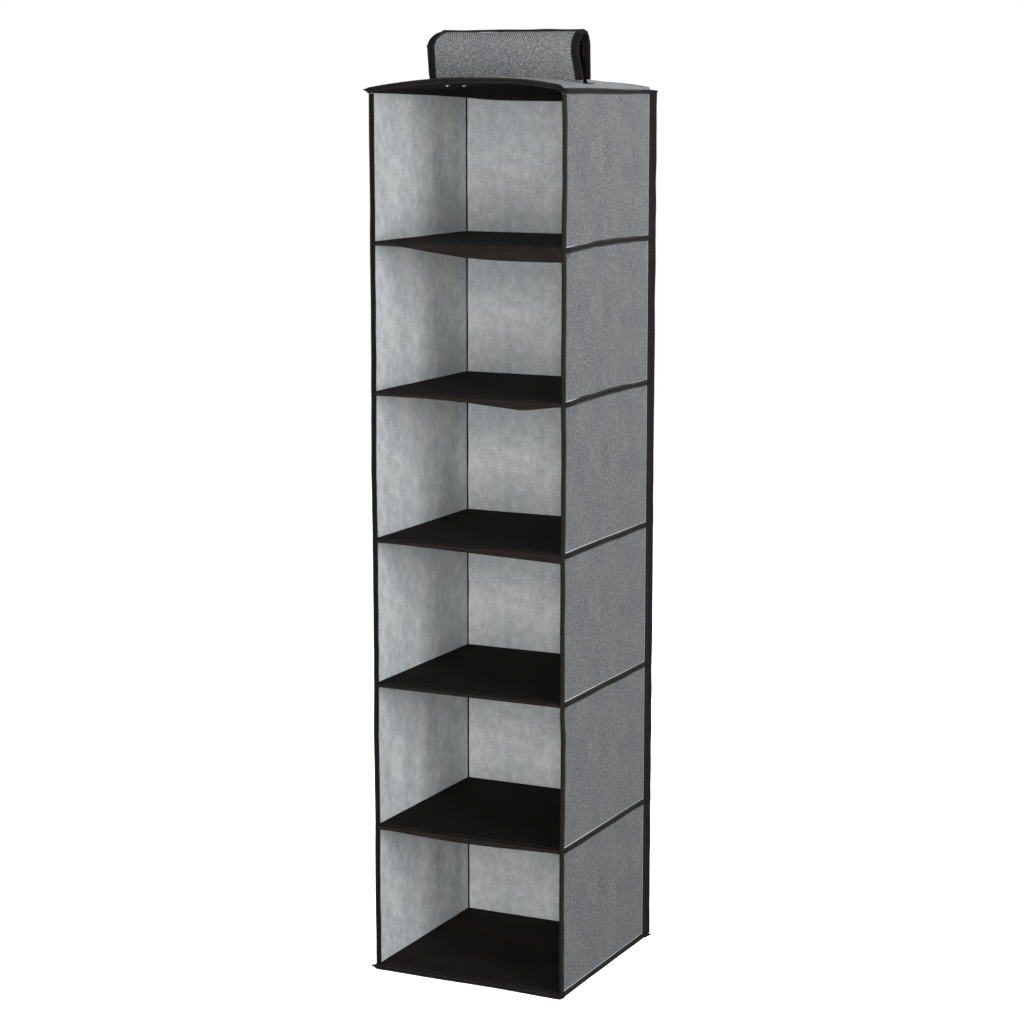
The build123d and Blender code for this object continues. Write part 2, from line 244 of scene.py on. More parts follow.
def waves(seed, count, low, high, stretch=1.0):
    """A smooth random field of two lengths in metres, about -1 to 1: plane waves from low to high cycles per metre."""
    rng = np.random.default_rng(seed)
    f = rng.uniform(low, high, count)
    a = rng.uniform(0, 2 * math.pi, count)
    p = rng.uniform(0, 2 * math.pi, count)
    w = rng.uniform(0.5, 1.0, count)
    w /= np.sqrt((w**2).sum() / 2)

    def field(s, t):
        s, t = np.broadcast_arrays(np.asarray(s, float), np.asarray(t, float))
        total = np.zeros(s.shape)
        for i in range(count):
            total += w[i] * np.cos(
                2 * math.pi * f[i] * (np.cos(a[i]) * s + np.sin(a[i]) * t * stretch) + p[i]
            )
        return total / 2

    return field


def smooth(x, a, b):
    t = np.clip((np.asarray(x, float) - a) / (b - a), 0, 1)
    return t * t * (3 - 2 * t)


def rise(x, y):
    """The arch of the top panel above its seam plane."""
    t = (np.asarray(y, float) - YF) / D
    return (ARCH_F * (1 - t) + ARCH_B * t) * (1 - (np.asarray(x, float) / HW) ** 2)


# ------------------------------------------------------------------ materials
class Shader:
    """A Principled material and short names for its nodes."""

    def __init__(self, name, rough=0.8, **sockets):
        self.m = bpy.data.materials.new(name)
        self.m.use_nodes = True
        self.nt = self.m.node_tree
        self.nt.nodes.clear()
        out = self.new("ShaderNodeOutputMaterial")
        self.b = self.new("ShaderNodeBsdfPrincipled")
        self.nt.links.new(self.b.outputs[0], out.inputs[0])
        self.b.inputs["Roughness"].default_value = rough
        for k, v in sockets.items():
            self.b.inputs[k.replace("_", " ")].default_value = v

    def new(self, kind, **props):
        n = self.nt.nodes.new(kind)
        for k, v in props.items():
            setattr(n, k, v)
        return n

    def put(self, socket, value):
        if isinstance(value, bpy.types.NodeSocket):
            self.nt.links.new(value, socket)
        else:
            socket.default_value = value

    def uv(self):
        return self.new("ShaderNodeUVMap", uv_map="cloth").outputs[0]

    def place(self):
        return self.new("ShaderNodeTexCoord").outputs["Object"]

    def scaled(self, vec, scale, turn=0.0, move=(0, 0, 0)):
        n = self.new("ShaderNodeMapping")
        self.put(n.inputs["Vector"], vec)
        n.inputs["Scale"].default_value = scale
        n.inputs["Rotation"].default_value = (0, 0, turn)
        n.inputs["Location"].default_value = move
        return n.outputs[0]

    def noise(self, vec, detail=2.0, rough=0.5, warp=0.0):
        n = self.new("ShaderNodeTexNoise")
        self.put(n.inputs["Vector"], vec)
        n.inputs["Scale"].default_value = 1.0
        n.inputs["Detail"].default_value = detail
        n.inputs["Roughness"].default_value = rough
        n.inputs["Distortion"].default_value = warp
        return n.outputs[0]

    def cells(self, vec, feature="F1", random=1.0):
        n = self.new("ShaderNodeTexVoronoi", feature=feature)
        self.put(n.inputs["Vector"], vec)
        n.inputs["Scale"].default_value = 1.0
        n.inputs["Randomness"].default_value = random
        return n.outputs["Distance"]

    def calc(self, op, a, b=0.0, c=None, clamp=False):
        n = self.new("ShaderNodeMath", operation=op, use_clamp=clamp)
        self.put(n.inputs[0], a)
        self.put(n.inputs[1], b)
        if c is not None:
            self.put(n.inputs[2], c)
        return n.outputs[0]

    def sum(self, base, *terms):
        """base plus each (value around 0.5, weight)."""
        total = base
        for value, weight in terms:
            centred = self.calc("SUBTRACT", value, 0.5)
            total = self.calc("MULTIPLY_ADD", centred, weight, total)
        return total

    def ramp(self, fac, *stops, ease="LINEAR"):
        n = self.new("ShaderNodeValToRGB")
        n.color_ramp.interpolation = ease
        while len(n.color_ramp.elements) < len(stops):
            n.color_ramp.elements.new(0.5)
        for e, (at, colour) in zip(n.color_ramp.elements, stops):
            e.position = at
            e.color = (*colour, 1.0) if hasattr(colour, "__len__") else (colour, colour, colour, 1.0)
        self.put(n.inputs[0], fac)
        return n.outputs[0]

    def band(self, value, low, high, edge):
        """1 where value lies from low to high, with soft edges."""
        a = self.new("ShaderNodeMapRange", interpolation_type="SMOOTHSTEP")
        self.put(a.inputs["Value"], value)
        a.inputs["From Min"].default_value, a.inputs["From Max"].default_value = low - edge, low + edge
        b = self.new("ShaderNodeMapRange", interpolation_type="SMOOTHSTEP")
        self.put(b.inputs["Value"], value)
        b.inputs["From Min"].default_value, b.inputs["From Max"].default_value = high - edge, high + edge
        return self.calc("MULTIPLY", a.outputs[0], self.calc("SUBTRACT", 1.0, b.outputs[0]))

    def mix(self, fac, a, b, mode="MIX"):
        n = self.new("ShaderNodeMix", data_type="RGBA", blend_type=mode)
        self.put(n.inputs[0], fac)
        self.put(n.inputs[6], a)
        self.put(n.inputs[7], b)
        return n.outputs[2]

    def split(self, vec):
        n = self.new("ShaderNodeSeparateXYZ")
        self.put(n.inputs[0], vec)
        return n.outputs

    def colour(self, value):
        self.put(self.b.inputs["Base Color"], value)

    def rough(self, value):
        self.put(self.b.inputs["Roughness"], value)

    def bump(self, height, distance, strength=1.0, under=None):
        n = self.new("ShaderNodeBump")
        n.inputs["Strength"].default_value = strength
        n.inputs["Distance"].default_value = distance
        self.put(n.inputs["Height"], height)
        if under is not None:
            self.put(n.inputs["Normal"], under)
        self.put(self.b.inputs["Normal"], n.outputs[0])
        return n.outputs[0]


def rgb(r, g, b):
    """sRGB 0 to 255 as linear."""
    return tuple(((c / 255 + 0.055) / 1.055) ** 2.4 if c > 10 else c / 255 / 12.92 for c in (r, g, b))


THREAD = 2.9 * MM       # pitch of the printed weave


def heather(name, seams=False, contrast=1.4, shade=1.0, wide=1.0):
    """Printed heather fabric: uneven grey warp and weft over a fine weave. With seams, a painted highlight is laid on:
    a pale hairline just above the lower binding, weaker towards the back, and a fainter one beside the rear binding.
    """
    s = Shader(name, 0.9, Sheen_Weight=0.06, Sheen_Roughness=0.5, Specular_IOR_Level=0.15)
    s.b.inputs["Sheen Tint"].default_value = (0.95, 0.97, 1.0, 1)
    uv = s.uv()
    warp = s.noise(s.scaled(uv, (1 / 0.0012, 1 / 0.0050, 1)), 2.0, 0.6)
    weft = s.noise(s.scaled(uv, (1 / 0.0060, 1 / 0.0012, 1), move=(7, 3, 0)), 2.0, 0.6)
    slub = s.noise(s.scaled(uv, (1 / 0.0028, 1 / 0.035, 1), move=(1, 9, 0)), 1.0, 0.5)
    fleck = s.noise(s.scaled(uv, (1 / 0.0012, 1 / 0.0012, 1), move=(4, 4, 0)), 2.0, 0.6)
    cloud = s.noise(s.scaled(uv, (1 / 0.050, 1 / 0.075, 1)), 3.0, 0.55)
    parts = s.split(uv)
    wob = s.noise(s.scaled(uv, (1 / 0.02, 1 / 0.02, 1), move=(2, 2, 0)), 1.0, 0.5)
    du = s.calc("MULTIPLY_ADD", wob, 0.0016, parts[0])
    dv = s.calc("MULTIPLY_ADD", wob, 0.0016, parts[1])
    a = s.calc("SINE", s.calc("MULTIPLY", du, 2 * math.pi / (THREAD * wide)))
    b = s.calc("SINE", s.calc("MULTIPLY", dv, 2 * math.pi / THREAD))
    weave = s.calc("MULTIPLY_ADD", s.calc("MULTIPLY", a, b), 0.5, 0.5)
    k = contrast
    total = s.sum(0.5, (warp, 0.86 * k), (weft, 0.86 * k), (slub, 0.34), (fleck, 0.40 * k), (cloud, 0.34), (weave, 1.00 * k))
    # The shade factor darkens every colour of this copy: painted shade.
    c = shade
    grey = s.ramp(
        total,
        (0.05, rgb(50 * c, 52 * c, 57 * c)),
        (0.33, rgb(92 * c, 94 * c, 98 * c)),
        (0.52, rgb(117 * c, 119 * c, 122 * c)),
        (0.72, rgb(144 * c, 146 * c, 148 * c)),
        (0.97, rgb(184 * c, 185 * c, 186 * c)),
    )
    tint = s.mix(s.ramp(cloud, (0.35, 0.0), (0.65, 1.0)), (0.985, 0.985, 1.02, 1), (1.012, 1.005, 0.98, 1))
    out = s.mix(1.0, grey, tint, "MULTIPLY")
    # Painted highlight: pale hairlines above the lower binding, stronger at the open front, and beside the rear
    # binding.
    if seams:
        low = s.band(parts[1], 1.4 * MM, 2.6 * MM, 0.4 * MM)
        highlight_front_fade = s.calc("SUBTRACT", 1.0, s.calc("MULTIPLY", parts[0], 0.55 / D))
        rear = s.calc("MULTIPLY", s.band(parts[0], D - 2.4 * MM, D - 0.4 * MM, 0.5 * MM), 0.35)
        painted_highlight = s.calc("MAXIMUM", s.calc("MULTIPLY", s.calc("MULTIPLY", low, 0.85), highlight_front_fade), rear)
        out = s.mix(painted_highlight, out, (*rgb(200, 203, 205), 1))
    s.colour(out)
    s.rough(s.calc("MULTIPLY_ADD", fleck, 0.12, 0.82))
    height = s.sum(0.5, (weave, 0.5), (warp, 0.6), (weft, 0.6))
    s.bump(height, 0.22 * MM, 0.5)
    return s.m


def pale(name):
    """Unprinted inner face: pale non-woven, softly mottled, with the print faintly showing through."""
    s = Shader(name, 0.92, Sheen_Weight=0.06, Specular_IOR_Level=0.12)
    uv = s.uv()
    mottle = s.noise(s.scaled(uv, (1 / 0.015, 1 / 0.019, 1)), 4.0, 0.65)
    broad = s.noise(s.scaled(uv, (1 / 0.055, 1 / 0.100, 1), move=(3, 1, 0)), 2.0, 0.5)
    fibre = s.noise(s.scaled(uv, (1 / 0.0016, 1 / 0.0030, 1)), 3.0, 0.65)
    bleed = s.noise(s.scaled(uv, (1 / 0.0022, 1 / 0.012, 1)), 2.0, 0.5)
    across = s.noise(s.scaled(uv, (1 / 0.012, 1 / 0.0022, 1), move=(5, 2, 0)), 2.0, 0.5)
    total = s.sum(0.5, (mottle, 0.95), (broad, 0.60), (fibre, 0.55), (bleed, 0.50), (across, 0.42))
    grey = s.ramp(
        total,
        (0.05, rgb(163, 166, 168)),
        (0.40, rgb(190, 194, 196)),
        (0.60, rgb(205, 208, 210)),
        (0.95, rgb(232, 234, 235)),
    )
    tint = s.mix(s.ramp(broad, (0.35, 0.0), (0.65, 1.0)), (0.985, 0.995, 1.01, 1), (1.015, 1.0, 0.975, 1))
    s.colour(s.mix(1.0, grey, tint, "MULTIPLY"))
    dots = s.cells(s.scaled(uv, (1 / 0.0017, 1 / 0.0017, 1)), random=0.35)
    s.rough(s.calc("MULTIPLY_ADD", mottle, 0.1, 0.86))
    fine = s.bump(s.sum(0.5, (fibre, 0.8), (dots, 0.5), (bleed, 0.4)), 0.20 * MM, 0.5)
    s.bump(s.sum(0.5, (mottle, 1.0)), 0.9 * MM, 0.35, under=fine)
    return s.m


def nonwoven(name, dark, mid, light, wear=0.0):
    """Black spun-bonded fabric: emboss points, fibres and soft creases."""
    s = Shader(name, 0.9, Sheen_Weight=0.008, Sheen_Roughness=0.45, Specular_IOR_Level=0.05)
    s.b.inputs["Sheen Tint"].default_value = (0.95, 0.9, 0.86, 1)
    uv = s.uv()
    dots = s.cells(s.scaled(uv, (1 / 0.0019, 1 / 0.0019, 1), turn=0.7), random=0.15)
    fibre = s.noise(s.scaled(uv, (1 / 0.0012, 1 / 0.0030, 1)), 3.0, 0.65)
    crease = s.noise(s.scaled(uv, (1 / 0.030, 1 / 0.014, 1)), 3.0, 0.6, 0.6)
    broad = s.noise(s.scaled(uv, (1 / 0.09, 1 / 0.07, 1), move=(2, 6, 0)), 2.0, 0.5)
    # The crease noise that raises the bump also lightens the colour on the ridges and darkens it in the folds: painted
    # shade.
    total = s.sum(0.5, (fibre, 0.6), (crease, 0.5), (broad, 0.4), (dots, 0.35))
    s.colour(s.ramp(total, (0.15, dark), (0.5, mid), (0.9, light)))
    s.rough(s.calc("MULTIPLY_ADD", crease, 0.15, 0.78))
    fine = s.bump(s.sum(0.5, (dots, 1.0), (fibre, 0.5)), 0.18 * MM, 0.6)
    s.bump(s.sum(0.5, (crease, 1.0)), 0.8 * MM, 0.35, under=fine)
    return s.m


def tape(name):
    """Binding tape: narrow ribs across its run, and a slightly paler crown where it is worn."""
    s = Shader(name, 0.8, Sheen_Weight=0.02, Sheen_Roughness=0.4, Specular_IOR_Level=0.12)
    s.b.inputs["Sheen Tint"].default_value = (1.0, 0.93, 0.92, 1)
    uv = s.uv()
    parts = s.split(uv)
    wob = s.noise(s.scaled(uv, (1 / 0.004, 1 / 0.004, 1)), 2.0, 0.5)
    run = s.calc("MULTIPLY_ADD", wob, 0.0006, parts[0])
    rib = s.calc("MULTIPLY_ADD", s.calc("SINE", s.calc("MULTIPLY", run, 2 * math.pi / 0.0009)), 0.5, 0.5)
    fibre = s.noise(s.scaled(uv, (1 / 0.0011, 1 / 0.0026, 1)), 3.0, 0.6)
    wear = s.noise(s.scaled(uv, (1 / 0.022, 1 / 0.006, 1)), 3.0, 0.6)
    total = s.sum(0.5, (rib, 0.30), (fibre, 0.55), (wear, 0.60))
    s.colour(s.ramp(total, (0.15, rgb(13, 11.5, 11.8)), (0.5, rgb(22, 19.5, 20)), (0.85, rgb(38, 34.5, 35))))
    s.rough(s.calc("MULTIPLY_ADD", wear, 0.2, 0.66))
    s.bump(s.sum(0.5, (rib, 1.0), (fibre, 0.5)), 0.16 * MM, 0.6)
    return s.m


def thread(name):
    s = Shader(name, 0.5, Sheen_Weight=0.3, Specular_IOR_Level=0.4)
    p = s.place()
    ply = s.noise(s.scaled(p, (2600, 2600, 2600)), 1.0)
    s.colour(s.ramp(ply, (0.3, rgb(16, 15, 15)), (0.7, rgb(42, 40, 40))))
    s.rough(s.calc("MULTIPLY_ADD", ply, 0.2, 0.4))
    s.bump(ply, 0.08 * MM, 0.6)
    return s.m


def metal(name):
    """Nickel-plated steel with fine turning marks and dull spots."""
    s = Shader(name, 0.42, Metallic=1.0)
    p = s.place()
    fine = s.noise(s.scaled(p, (900, 900, 900)), 3.0, 0.6)
    spots = s.noise(s.scaled(p, (260, 260, 260)), 2.0, 0.5)
    s.colour(s.ramp(spots, (0.3, rgb(138, 136, 133)), (0.7, rgb(176, 175, 172))))
    s.rough(s.calc("MULTIPLY_ADD", fine, 0.3, 0.28))
    s.bump(fine, 0.05 * MM, 0.4)
    return s.m


def cardboard(name):
    s = Shader(name, 0.88, Specular_IOR_Level=0.2)
    p = s.place()
    fibre = s.noise(s.scaled(p, (420, 90, 420)), 4.0, 0.65)
    fleck = s.noise(s.scaled(p, (900, 900, 900)), 2.0, 0.6)
    s.colour(s.ramp(s.sum(0.5, (fibre, 0.8), (fleck, 0.5)), (0.2, rgb(128, 108, 82)), (0.55, rgb(160, 139, 110)), (0.9, rgb(186, 168, 140))))
    s.rough(s.calc("MULTIPLY_ADD", fleck, 0.1, 0.82))
    s.bump(fibre, 0.15 * MM, 0.5)
    return s.m


def gripping(name, pitch, depth):
    """Hook tape or loop tape: a dense pile of nylon loops on a woven ground."""
    s = Shader(name, 0.6, Sheen_Weight=0.4, Sheen_Roughness=0.35)
    p = s.place()
    pile = s.cells(s.scaled(p, (1 / pitch, 1 / pitch, 1 / pitch)), random=0.8)
    curl = s.noise(s.scaled(p, (1800, 1800, 1800)), 3.0, 0.7, 1.5)
    s.colour(s.ramp(s.sum(0.5, (pile, 0.8), (curl, 0.7)), (0.2, rgb(14, 13, 14)), (0.6, rgb(34, 32, 33)), (0.95, rgb(66, 63, 64))))
    s.rough(s.calc("MULTIPLY_ADD", curl, 0.3, 0.4))
    s.bump(s.sum(0.5, (pile, -1.0), (curl, 0.8)), depth, 0.8)
    return s.m


# Copies of one heather print in different shade: the wall and top copies are darker than the strap copy, painted shade
# where less light falls on them.
HEATHER_WALL_SHADED = heather("heather_print_wall_painted_shade", seams=True, contrast=1.65, shade=0.79, wide=1.6)
HEATHER_SHADED = heather("heather_print", shade=0.92)
HEATHER_STRAP = heather("heather_print_strap", contrast=1.90, shade=0.955)
PALE = pale("pale_lining")
BLACK = nonwoven("black_nonwoven", rgb(8, 7.4, 7.0), rgb(14, 12.9, 12.3), rgb(25, 23.2, 22))
# A lighter, browner copy of the black nonwoven for the front of each shelf hem: painted light where the front light
# falls.
BLACK_HEM_LIT = nonwoven("black_nonwoven_hem_painted_light", rgb(22, 19, 17.5), rgb(36, 31.5, 29), rgb(58, 51, 47))
TAPE = tape("binding_tape")
THREAD_M = thread("stitching_thread")
METAL = metal("rivet_metal")
BOARD_M = cardboard("stiffener_board")
# A lighter copy of the black nonwoven for the base: painted light on the floor of the bottom tier.
BLACK_BASE_LIT = nonwoven("black_nonwoven_base_painted_light", rgb(17, 15, 15), rgb(27, 24, 23.5), rgb(42, 38, 37))
HOOK = gripping("hook_tape_pile", 1.1 * MM, 0.5 * MM)
LOOP = gripping("loop_tape_pile", 0.8 * MM, 0.4 * MM)


def dress(ob, body=None, nodes=(), fold=None):
    """Hides the nodes a new piece replaces and rides it on a body; with fold, given as (joint, anchor z, keep), it only
    gives the piece its own copy of its mesh.
    """
    if nodes:
        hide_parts(*nodes)
    if body:
        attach(ob, body)
    if fold:
        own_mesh(ob)
    return ob


# ------------------------------------------------------------------ tiers
TRAVEL = next(j["range_m"][1] for j in frame["joints"] if j["name"] == "tier_1_fold")
TAPE_T = 0.9 * MM
FRONT_W, FLANGE_W = 10 * MM, 11 * MM

# How far each wall bows out between its seams, in mm.
BOW = {
    "left": [0.6, -0.9, 0.8, -0.6, 0.9, 0.5],
    "right": [0.9, 0.6, 1.0, 0.4, 1.2, 0.8],
    "back": [0.8, 1.2, 0.6, 1.0, 1.4, 0.9],
}


def wall_field(kind, k):
    """Outward displacement of a wall panel in metres, from u, 0 to 1 across it (from the open front on a side wall), and v, 0 to 1 upwards."""
    seed = {"left": 100, "right": 200, "back": 300}[kind] + k
    soft = waves(seed, 7, 3.0, 9.5, 0.30)
    slack = waves(seed + 20, 6, 7.0, 20.0, 0.55)
    phase = waves(seed + 40, 4, 4.0, 14.0)
    rng = np.random.default_rng(seed + 60)
    folds = [(rng.uniform(7.0, 17.0), rng.uniform(0, 2 * math.pi), rng.uniform(0.5, 1.0), rng.uniform(2.0, 5.0)) for _ in range(4)]

    def pleats(s, t):
        """Soft folds that run down the cloth."""
        return sum(w * np.cos(2 * math.pi * f * s + p + 0.9 * np.sin(2 * math.pi * g * t + p)) for f, p, w, g in folds) / 2

    bow = BOW[kind][k - 1] * MM

    def field(u, v):
        u, v = np.broadcast_arrays(np.asarray(u, float), np.asarray(v, float))
        s, t = u * D, v * (PITCH - 2 * SH)
        height = PITCH - 2 * SH
        hold = np.sin(math.pi * np.clip(v, 0, 1)) ** 0.7 * smooth(v, 0.035, 0.20) * smooth(1 - v, 0.035, 0.20)
        if kind == "back":
            pin = smooth(u, 0, 0.10) * smooth(1 - u, 0, 0.10)
            free = 1.0
        else:
            pin = smooth(1 - u, 0, 0.10)
            free = 0.55 + 0.45 * smooth(u, 0.0, 0.2)
        body = hold * pin * free * (bow + 1.1 * MM * soft(s, t) + 0.30 * MM * slack(s, t) + 0.75 * MM * pleats(s, t))
        near = np.exp(-t / 0.008) + np.exp(-(height - t) / 0.008)
        start = smooth(t, 0, 0.003) * smooth(height - t, 0, 0.003)
        pucker = 0.26 * MM * (np.cos(2 * math.pi * s / 0.0115 + 2.5 * phase(s, t)) - 1.0) * near * start * pin
        return body + pucker

    return field


def tier_span(k):
    low = LEVEL[k] + SH
    high = LEVEL[0] - 0.8 * MM if k == 1 else LEVEL[k - 1] - SH
    return low, high


NU, NV = 84, 56
SIDE_DROOP = [0, 2.4, 1.8, 0.6, 0.2, 0.2, 0]   # how far the bands on the side walls sag at the front, mm


def ease(s):
    """1 at the open front, falling ever more slowly to 0 over the front half."""
    return np.clip(1 - np.asarray(s, float) / 0.55, 0, 1) ** 2


FIELD = {}
for k in range(1, TIERS + 1):
    low, high = tier_span(k)
    body = BODY[k - 1]
    keep = (high - low - TRAVEL) / (high - low)
    # Rows gather near the seams, where the cloth puckers.
    v = 0.5 - 0.5 * np.cos(np.linspace(0, math.pi, NV)) * (1 - 0.25 * np.sin(np.linspace(0, math.pi, NV)))
    v = (v - v[0]) / (v[-1] - v[0])
    u = np.linspace(0, 1, NU)
    uu, vv = np.meshgrid(u, v, indexing="ij")
    z = low + vv * (high - low)
    for kind, side in (("left", -1), ("right", 1)):
        f = FIELD[kind, k] = wall_field(kind, k)
        droop = SIDE_DROOP[k] * MM * ease(uu)
        d = f(uu, vv) + 1.05 * MM * smooth(droop, 0, 0.6 * MM) * (1 - smooth(vv, 0.008, 0.05)) * smooth(uu, 0.034, 0.060)
        y = YF + uu * D
        zs = z - droop * (1 - vv)
        outer = np.stack([side * (HW + d), y, zs], -1)
        inner = np.stack([side * (HW - WT + d), y, zs], -1)
        uv = np.stack([uu * D, vv * (high - low)], -1)
        b = Build()
        b.slab(outer, inner, uv)
        # The outer face takes the darker wall copy of the heather: painted shade, with its painted highlights by the
        # bindings.
        ob = b.make(f"{kind}_panel_{k}", [HEATHER_WALL_SHADED, PALE])
        dress(ob, body, [f"{kind}_wall_{k}"], (f"tier_{k}_fold", high, keep))
    f = FIELD["back", k] = wall_field("back", k)
    d = f(uu, vv)
    x = -HW + WT + uu * 2 * (HW - WT)
    outer = np.stack([x, YB + d, z], -1)
    inner = np.stack([x, YB - WT + d, z], -1)
    b = Build()
    b.slab(outer, inner, np.stack([uu * D + 0.4, vv * (high - low)], -1))
    # The outside of the back takes the darker heather copy: painted shade.
    ob = b.make(f"back_panel_{k}", [HEATHER_SHADED, PALE])
    dress(ob, body, [f"back_wall_{k}"], (f"tier_{k}_fold", high, keep))

    # Tape round the front edges, and the bound rear seams that stand out.
    top_end = high if k > 1 else LEVEL[0] - 3.9 * MM
    bottom_end = LEVEL[k] if k < TIERS else LEVEL[k] + 3.0 * MM
    top_z = LEVEL[k - 1] if k > 1 else top_end
    n = 46
    zz = np.linspace(bottom_end, top_z, n)
    vz = np.clip((zz - low) / (high - low), 0, 1)
    h = WT / 2
    t = TAPE_T
    w = FRONT_W
    half = [(w, h), (w, h + 0.7 * t), (w - 0.3 * MM, h + t), (w - 2.0 * MM, h + t), (w - 2.4 * MM, h + 0.86 * t), (w - 2.8 * MM, h + t), (w * 0.4, h + 1.1 * t), (1.0 * MM, h + 1.08 * t), (-0.3 * MM, h + 0.8 * t), (-0.8 * MM, h * 0.6)]
    profile = np.array(half + [(-0.95 * MM, 0)] + [(a, -o) for a, o in half[::-1]] + [(0, -h), (0, h)])
    b, beads = Build(), Build()
    for kind, side in (("left", -1), ("right", 1)):
        f = FIELD[kind, k]
        wob = waves(500 + 10 * k + side, 5, 5, 22)
        d = f(0.012, vz)
        path = np.stack([side * (HW - h + d), YF + 0.35 * MM * wob(zz, 0.0), zz], -1)
        across, out = np.array([0.0, 1, 0]), np.array([float(side), 0, 0])
        b.sweep(path, across, out, profile, 0, scale=1 + 0.05 * wob(zz, 0.3))
        row = path + across * (w - 2.4 * MM)
        b.stitches(row + out * (h + 0.9 * t), out, 1)
        b.stitches(row - out * (h + 0.9 * t), -out, 1)
        # rear seam
        lean = 0.06 * wob(zz, 0.7) + 0.02
        ang = math.pi / 4 + lean
        away = np.stack([side * np.cos(ang), np.sin(ang), np.zeros(n)], -1)
        face = np.stack([side * np.sin(ang), -np.cos(ang), np.zeros(n)], -1)
        zf = np.linspace(bottom_end, top_z + (2.6 * MM if k == 1 else 0), n)
        root = np.stack([np.full(n, side * HW), np.full(n, YB), zf], -1)
        q = FLANGE_W
        upper = [(-0.6 * MM, 0.5 * MM), (0.2 * MM, 0.95 * MM), (2.2 * MM, 1.0 * MM), (2.6 * MM, 0.8 * MM), (3.0 * MM, 1.0 * MM), (6.5 * MM, 1.1 * MM), (q - 1.0 * MM, 1.0 * MM), (q - 0.2 * MM, 0.6 * MM)]
        prof = np.array(upper + [(q, 0)] + [(a, -o) for a, o in upper[::-1]])
        b.sweep(root, away, face, prof, 0, scale=1 + 0.03 * wob(zz, 1.1))
        row = root + away * 2.6 * MM
        b.stitches(row + face * 0.9 * MM, face, 1)
        b.stitches(row - face * 0.9 * MM, -face, 1)
        # the same seam's narrow edge inside the corner, riding the tier with the walls
        m = 30
        zi = np.linspace(low + 0.3 * MM, high - 0.3 * MM, m)
        inside = np.stack([np.full(m, side * (HW - WT - 0.02 * MM)), np.full(m, YB - WT - 0.02 * MM), zi], -1)
        bead = np.array([(0, 0), (1.7 * MM, 0), (1.3 * MM, 0.7 * MM), (0.7 * MM, 1.3 * MM), (0, 1.7 * MM)])
        beads.sweep(inside, (-side, 0, 0), (0, -1, 0), bead, 0, scale=1 + 0.15 * wob(zi, 2.0))
    full = top_z - bottom_end
    ob = b.make(f"corner_tape_{k}", [TAPE, THREAD_M])
    dress(ob, body, [f"corner_binding_{k}"], (f"tier_{k}_fold", top_z, max(full - TRAVEL, 0.004) / full))
    bead_ob = dress(beads.make(f"corner_bead_{k}", [TAPE]), body, (), (f"tier_{k}_fold", high, keep))


# ------------------------------------------------------------------ shelves
def strip_profile(width, thick):
    half = [(0.50, 0.0), (0.50, 0.5), (0.475, 0.82), (0.43, 0.97), (0.36, 0.98), (0.32, 0.80), (0.28, 0.98), (0.12, 1.06)]
    return np.array([(a * width, o * thick) for a, o in half] + [(-a * width, o * thick) for a, o in half[::-1]])


def smooth_line(s, at, value):
    """Straight pieces between the given points, with their corners rounded."""
    return sum(w * np.interp(s + o, at, value) for o, w in ((-0.03, 0.25), (0.0, 0.5), (0.03, 0.25)))


def hem_droop(k, x):
    """How far the front hem of shelf k hangs below its board at x, in metres."""
    s = (x / HW + 1) / 2
    if k == 1:
        return smooth_line(s, [0, 0.10, 0.17, 0.32, 0.48, 0.64, 0.79, 1.0], [0.3, 0.4, 1.0, 7.0, 12.2, 14.8, 15.4, 15.0]) * MM
    if k == 2:
        return smooth_line(s, [0, 0.32, 0.49, 0.63, 0.80, 0.93, 1.0], [0.2, 0.5, 2.4, 5.3, 8.8, 3.4, 0.8]) * MM
    if k == 3:
        return (0.2 + 7.4 * np.clip((s - 0.12) / 0.88, 0, 1) ** 1.1) * MM
    if k == 4:
        return 0.3 * MM + 0 * s
    if k == 5:
        return (0.4 + 3.6 * np.sin(math.pi * np.clip(s * 1.05, 0, 1)) ** 1.3) * MM
    return 0.15 * MM + 0 * s


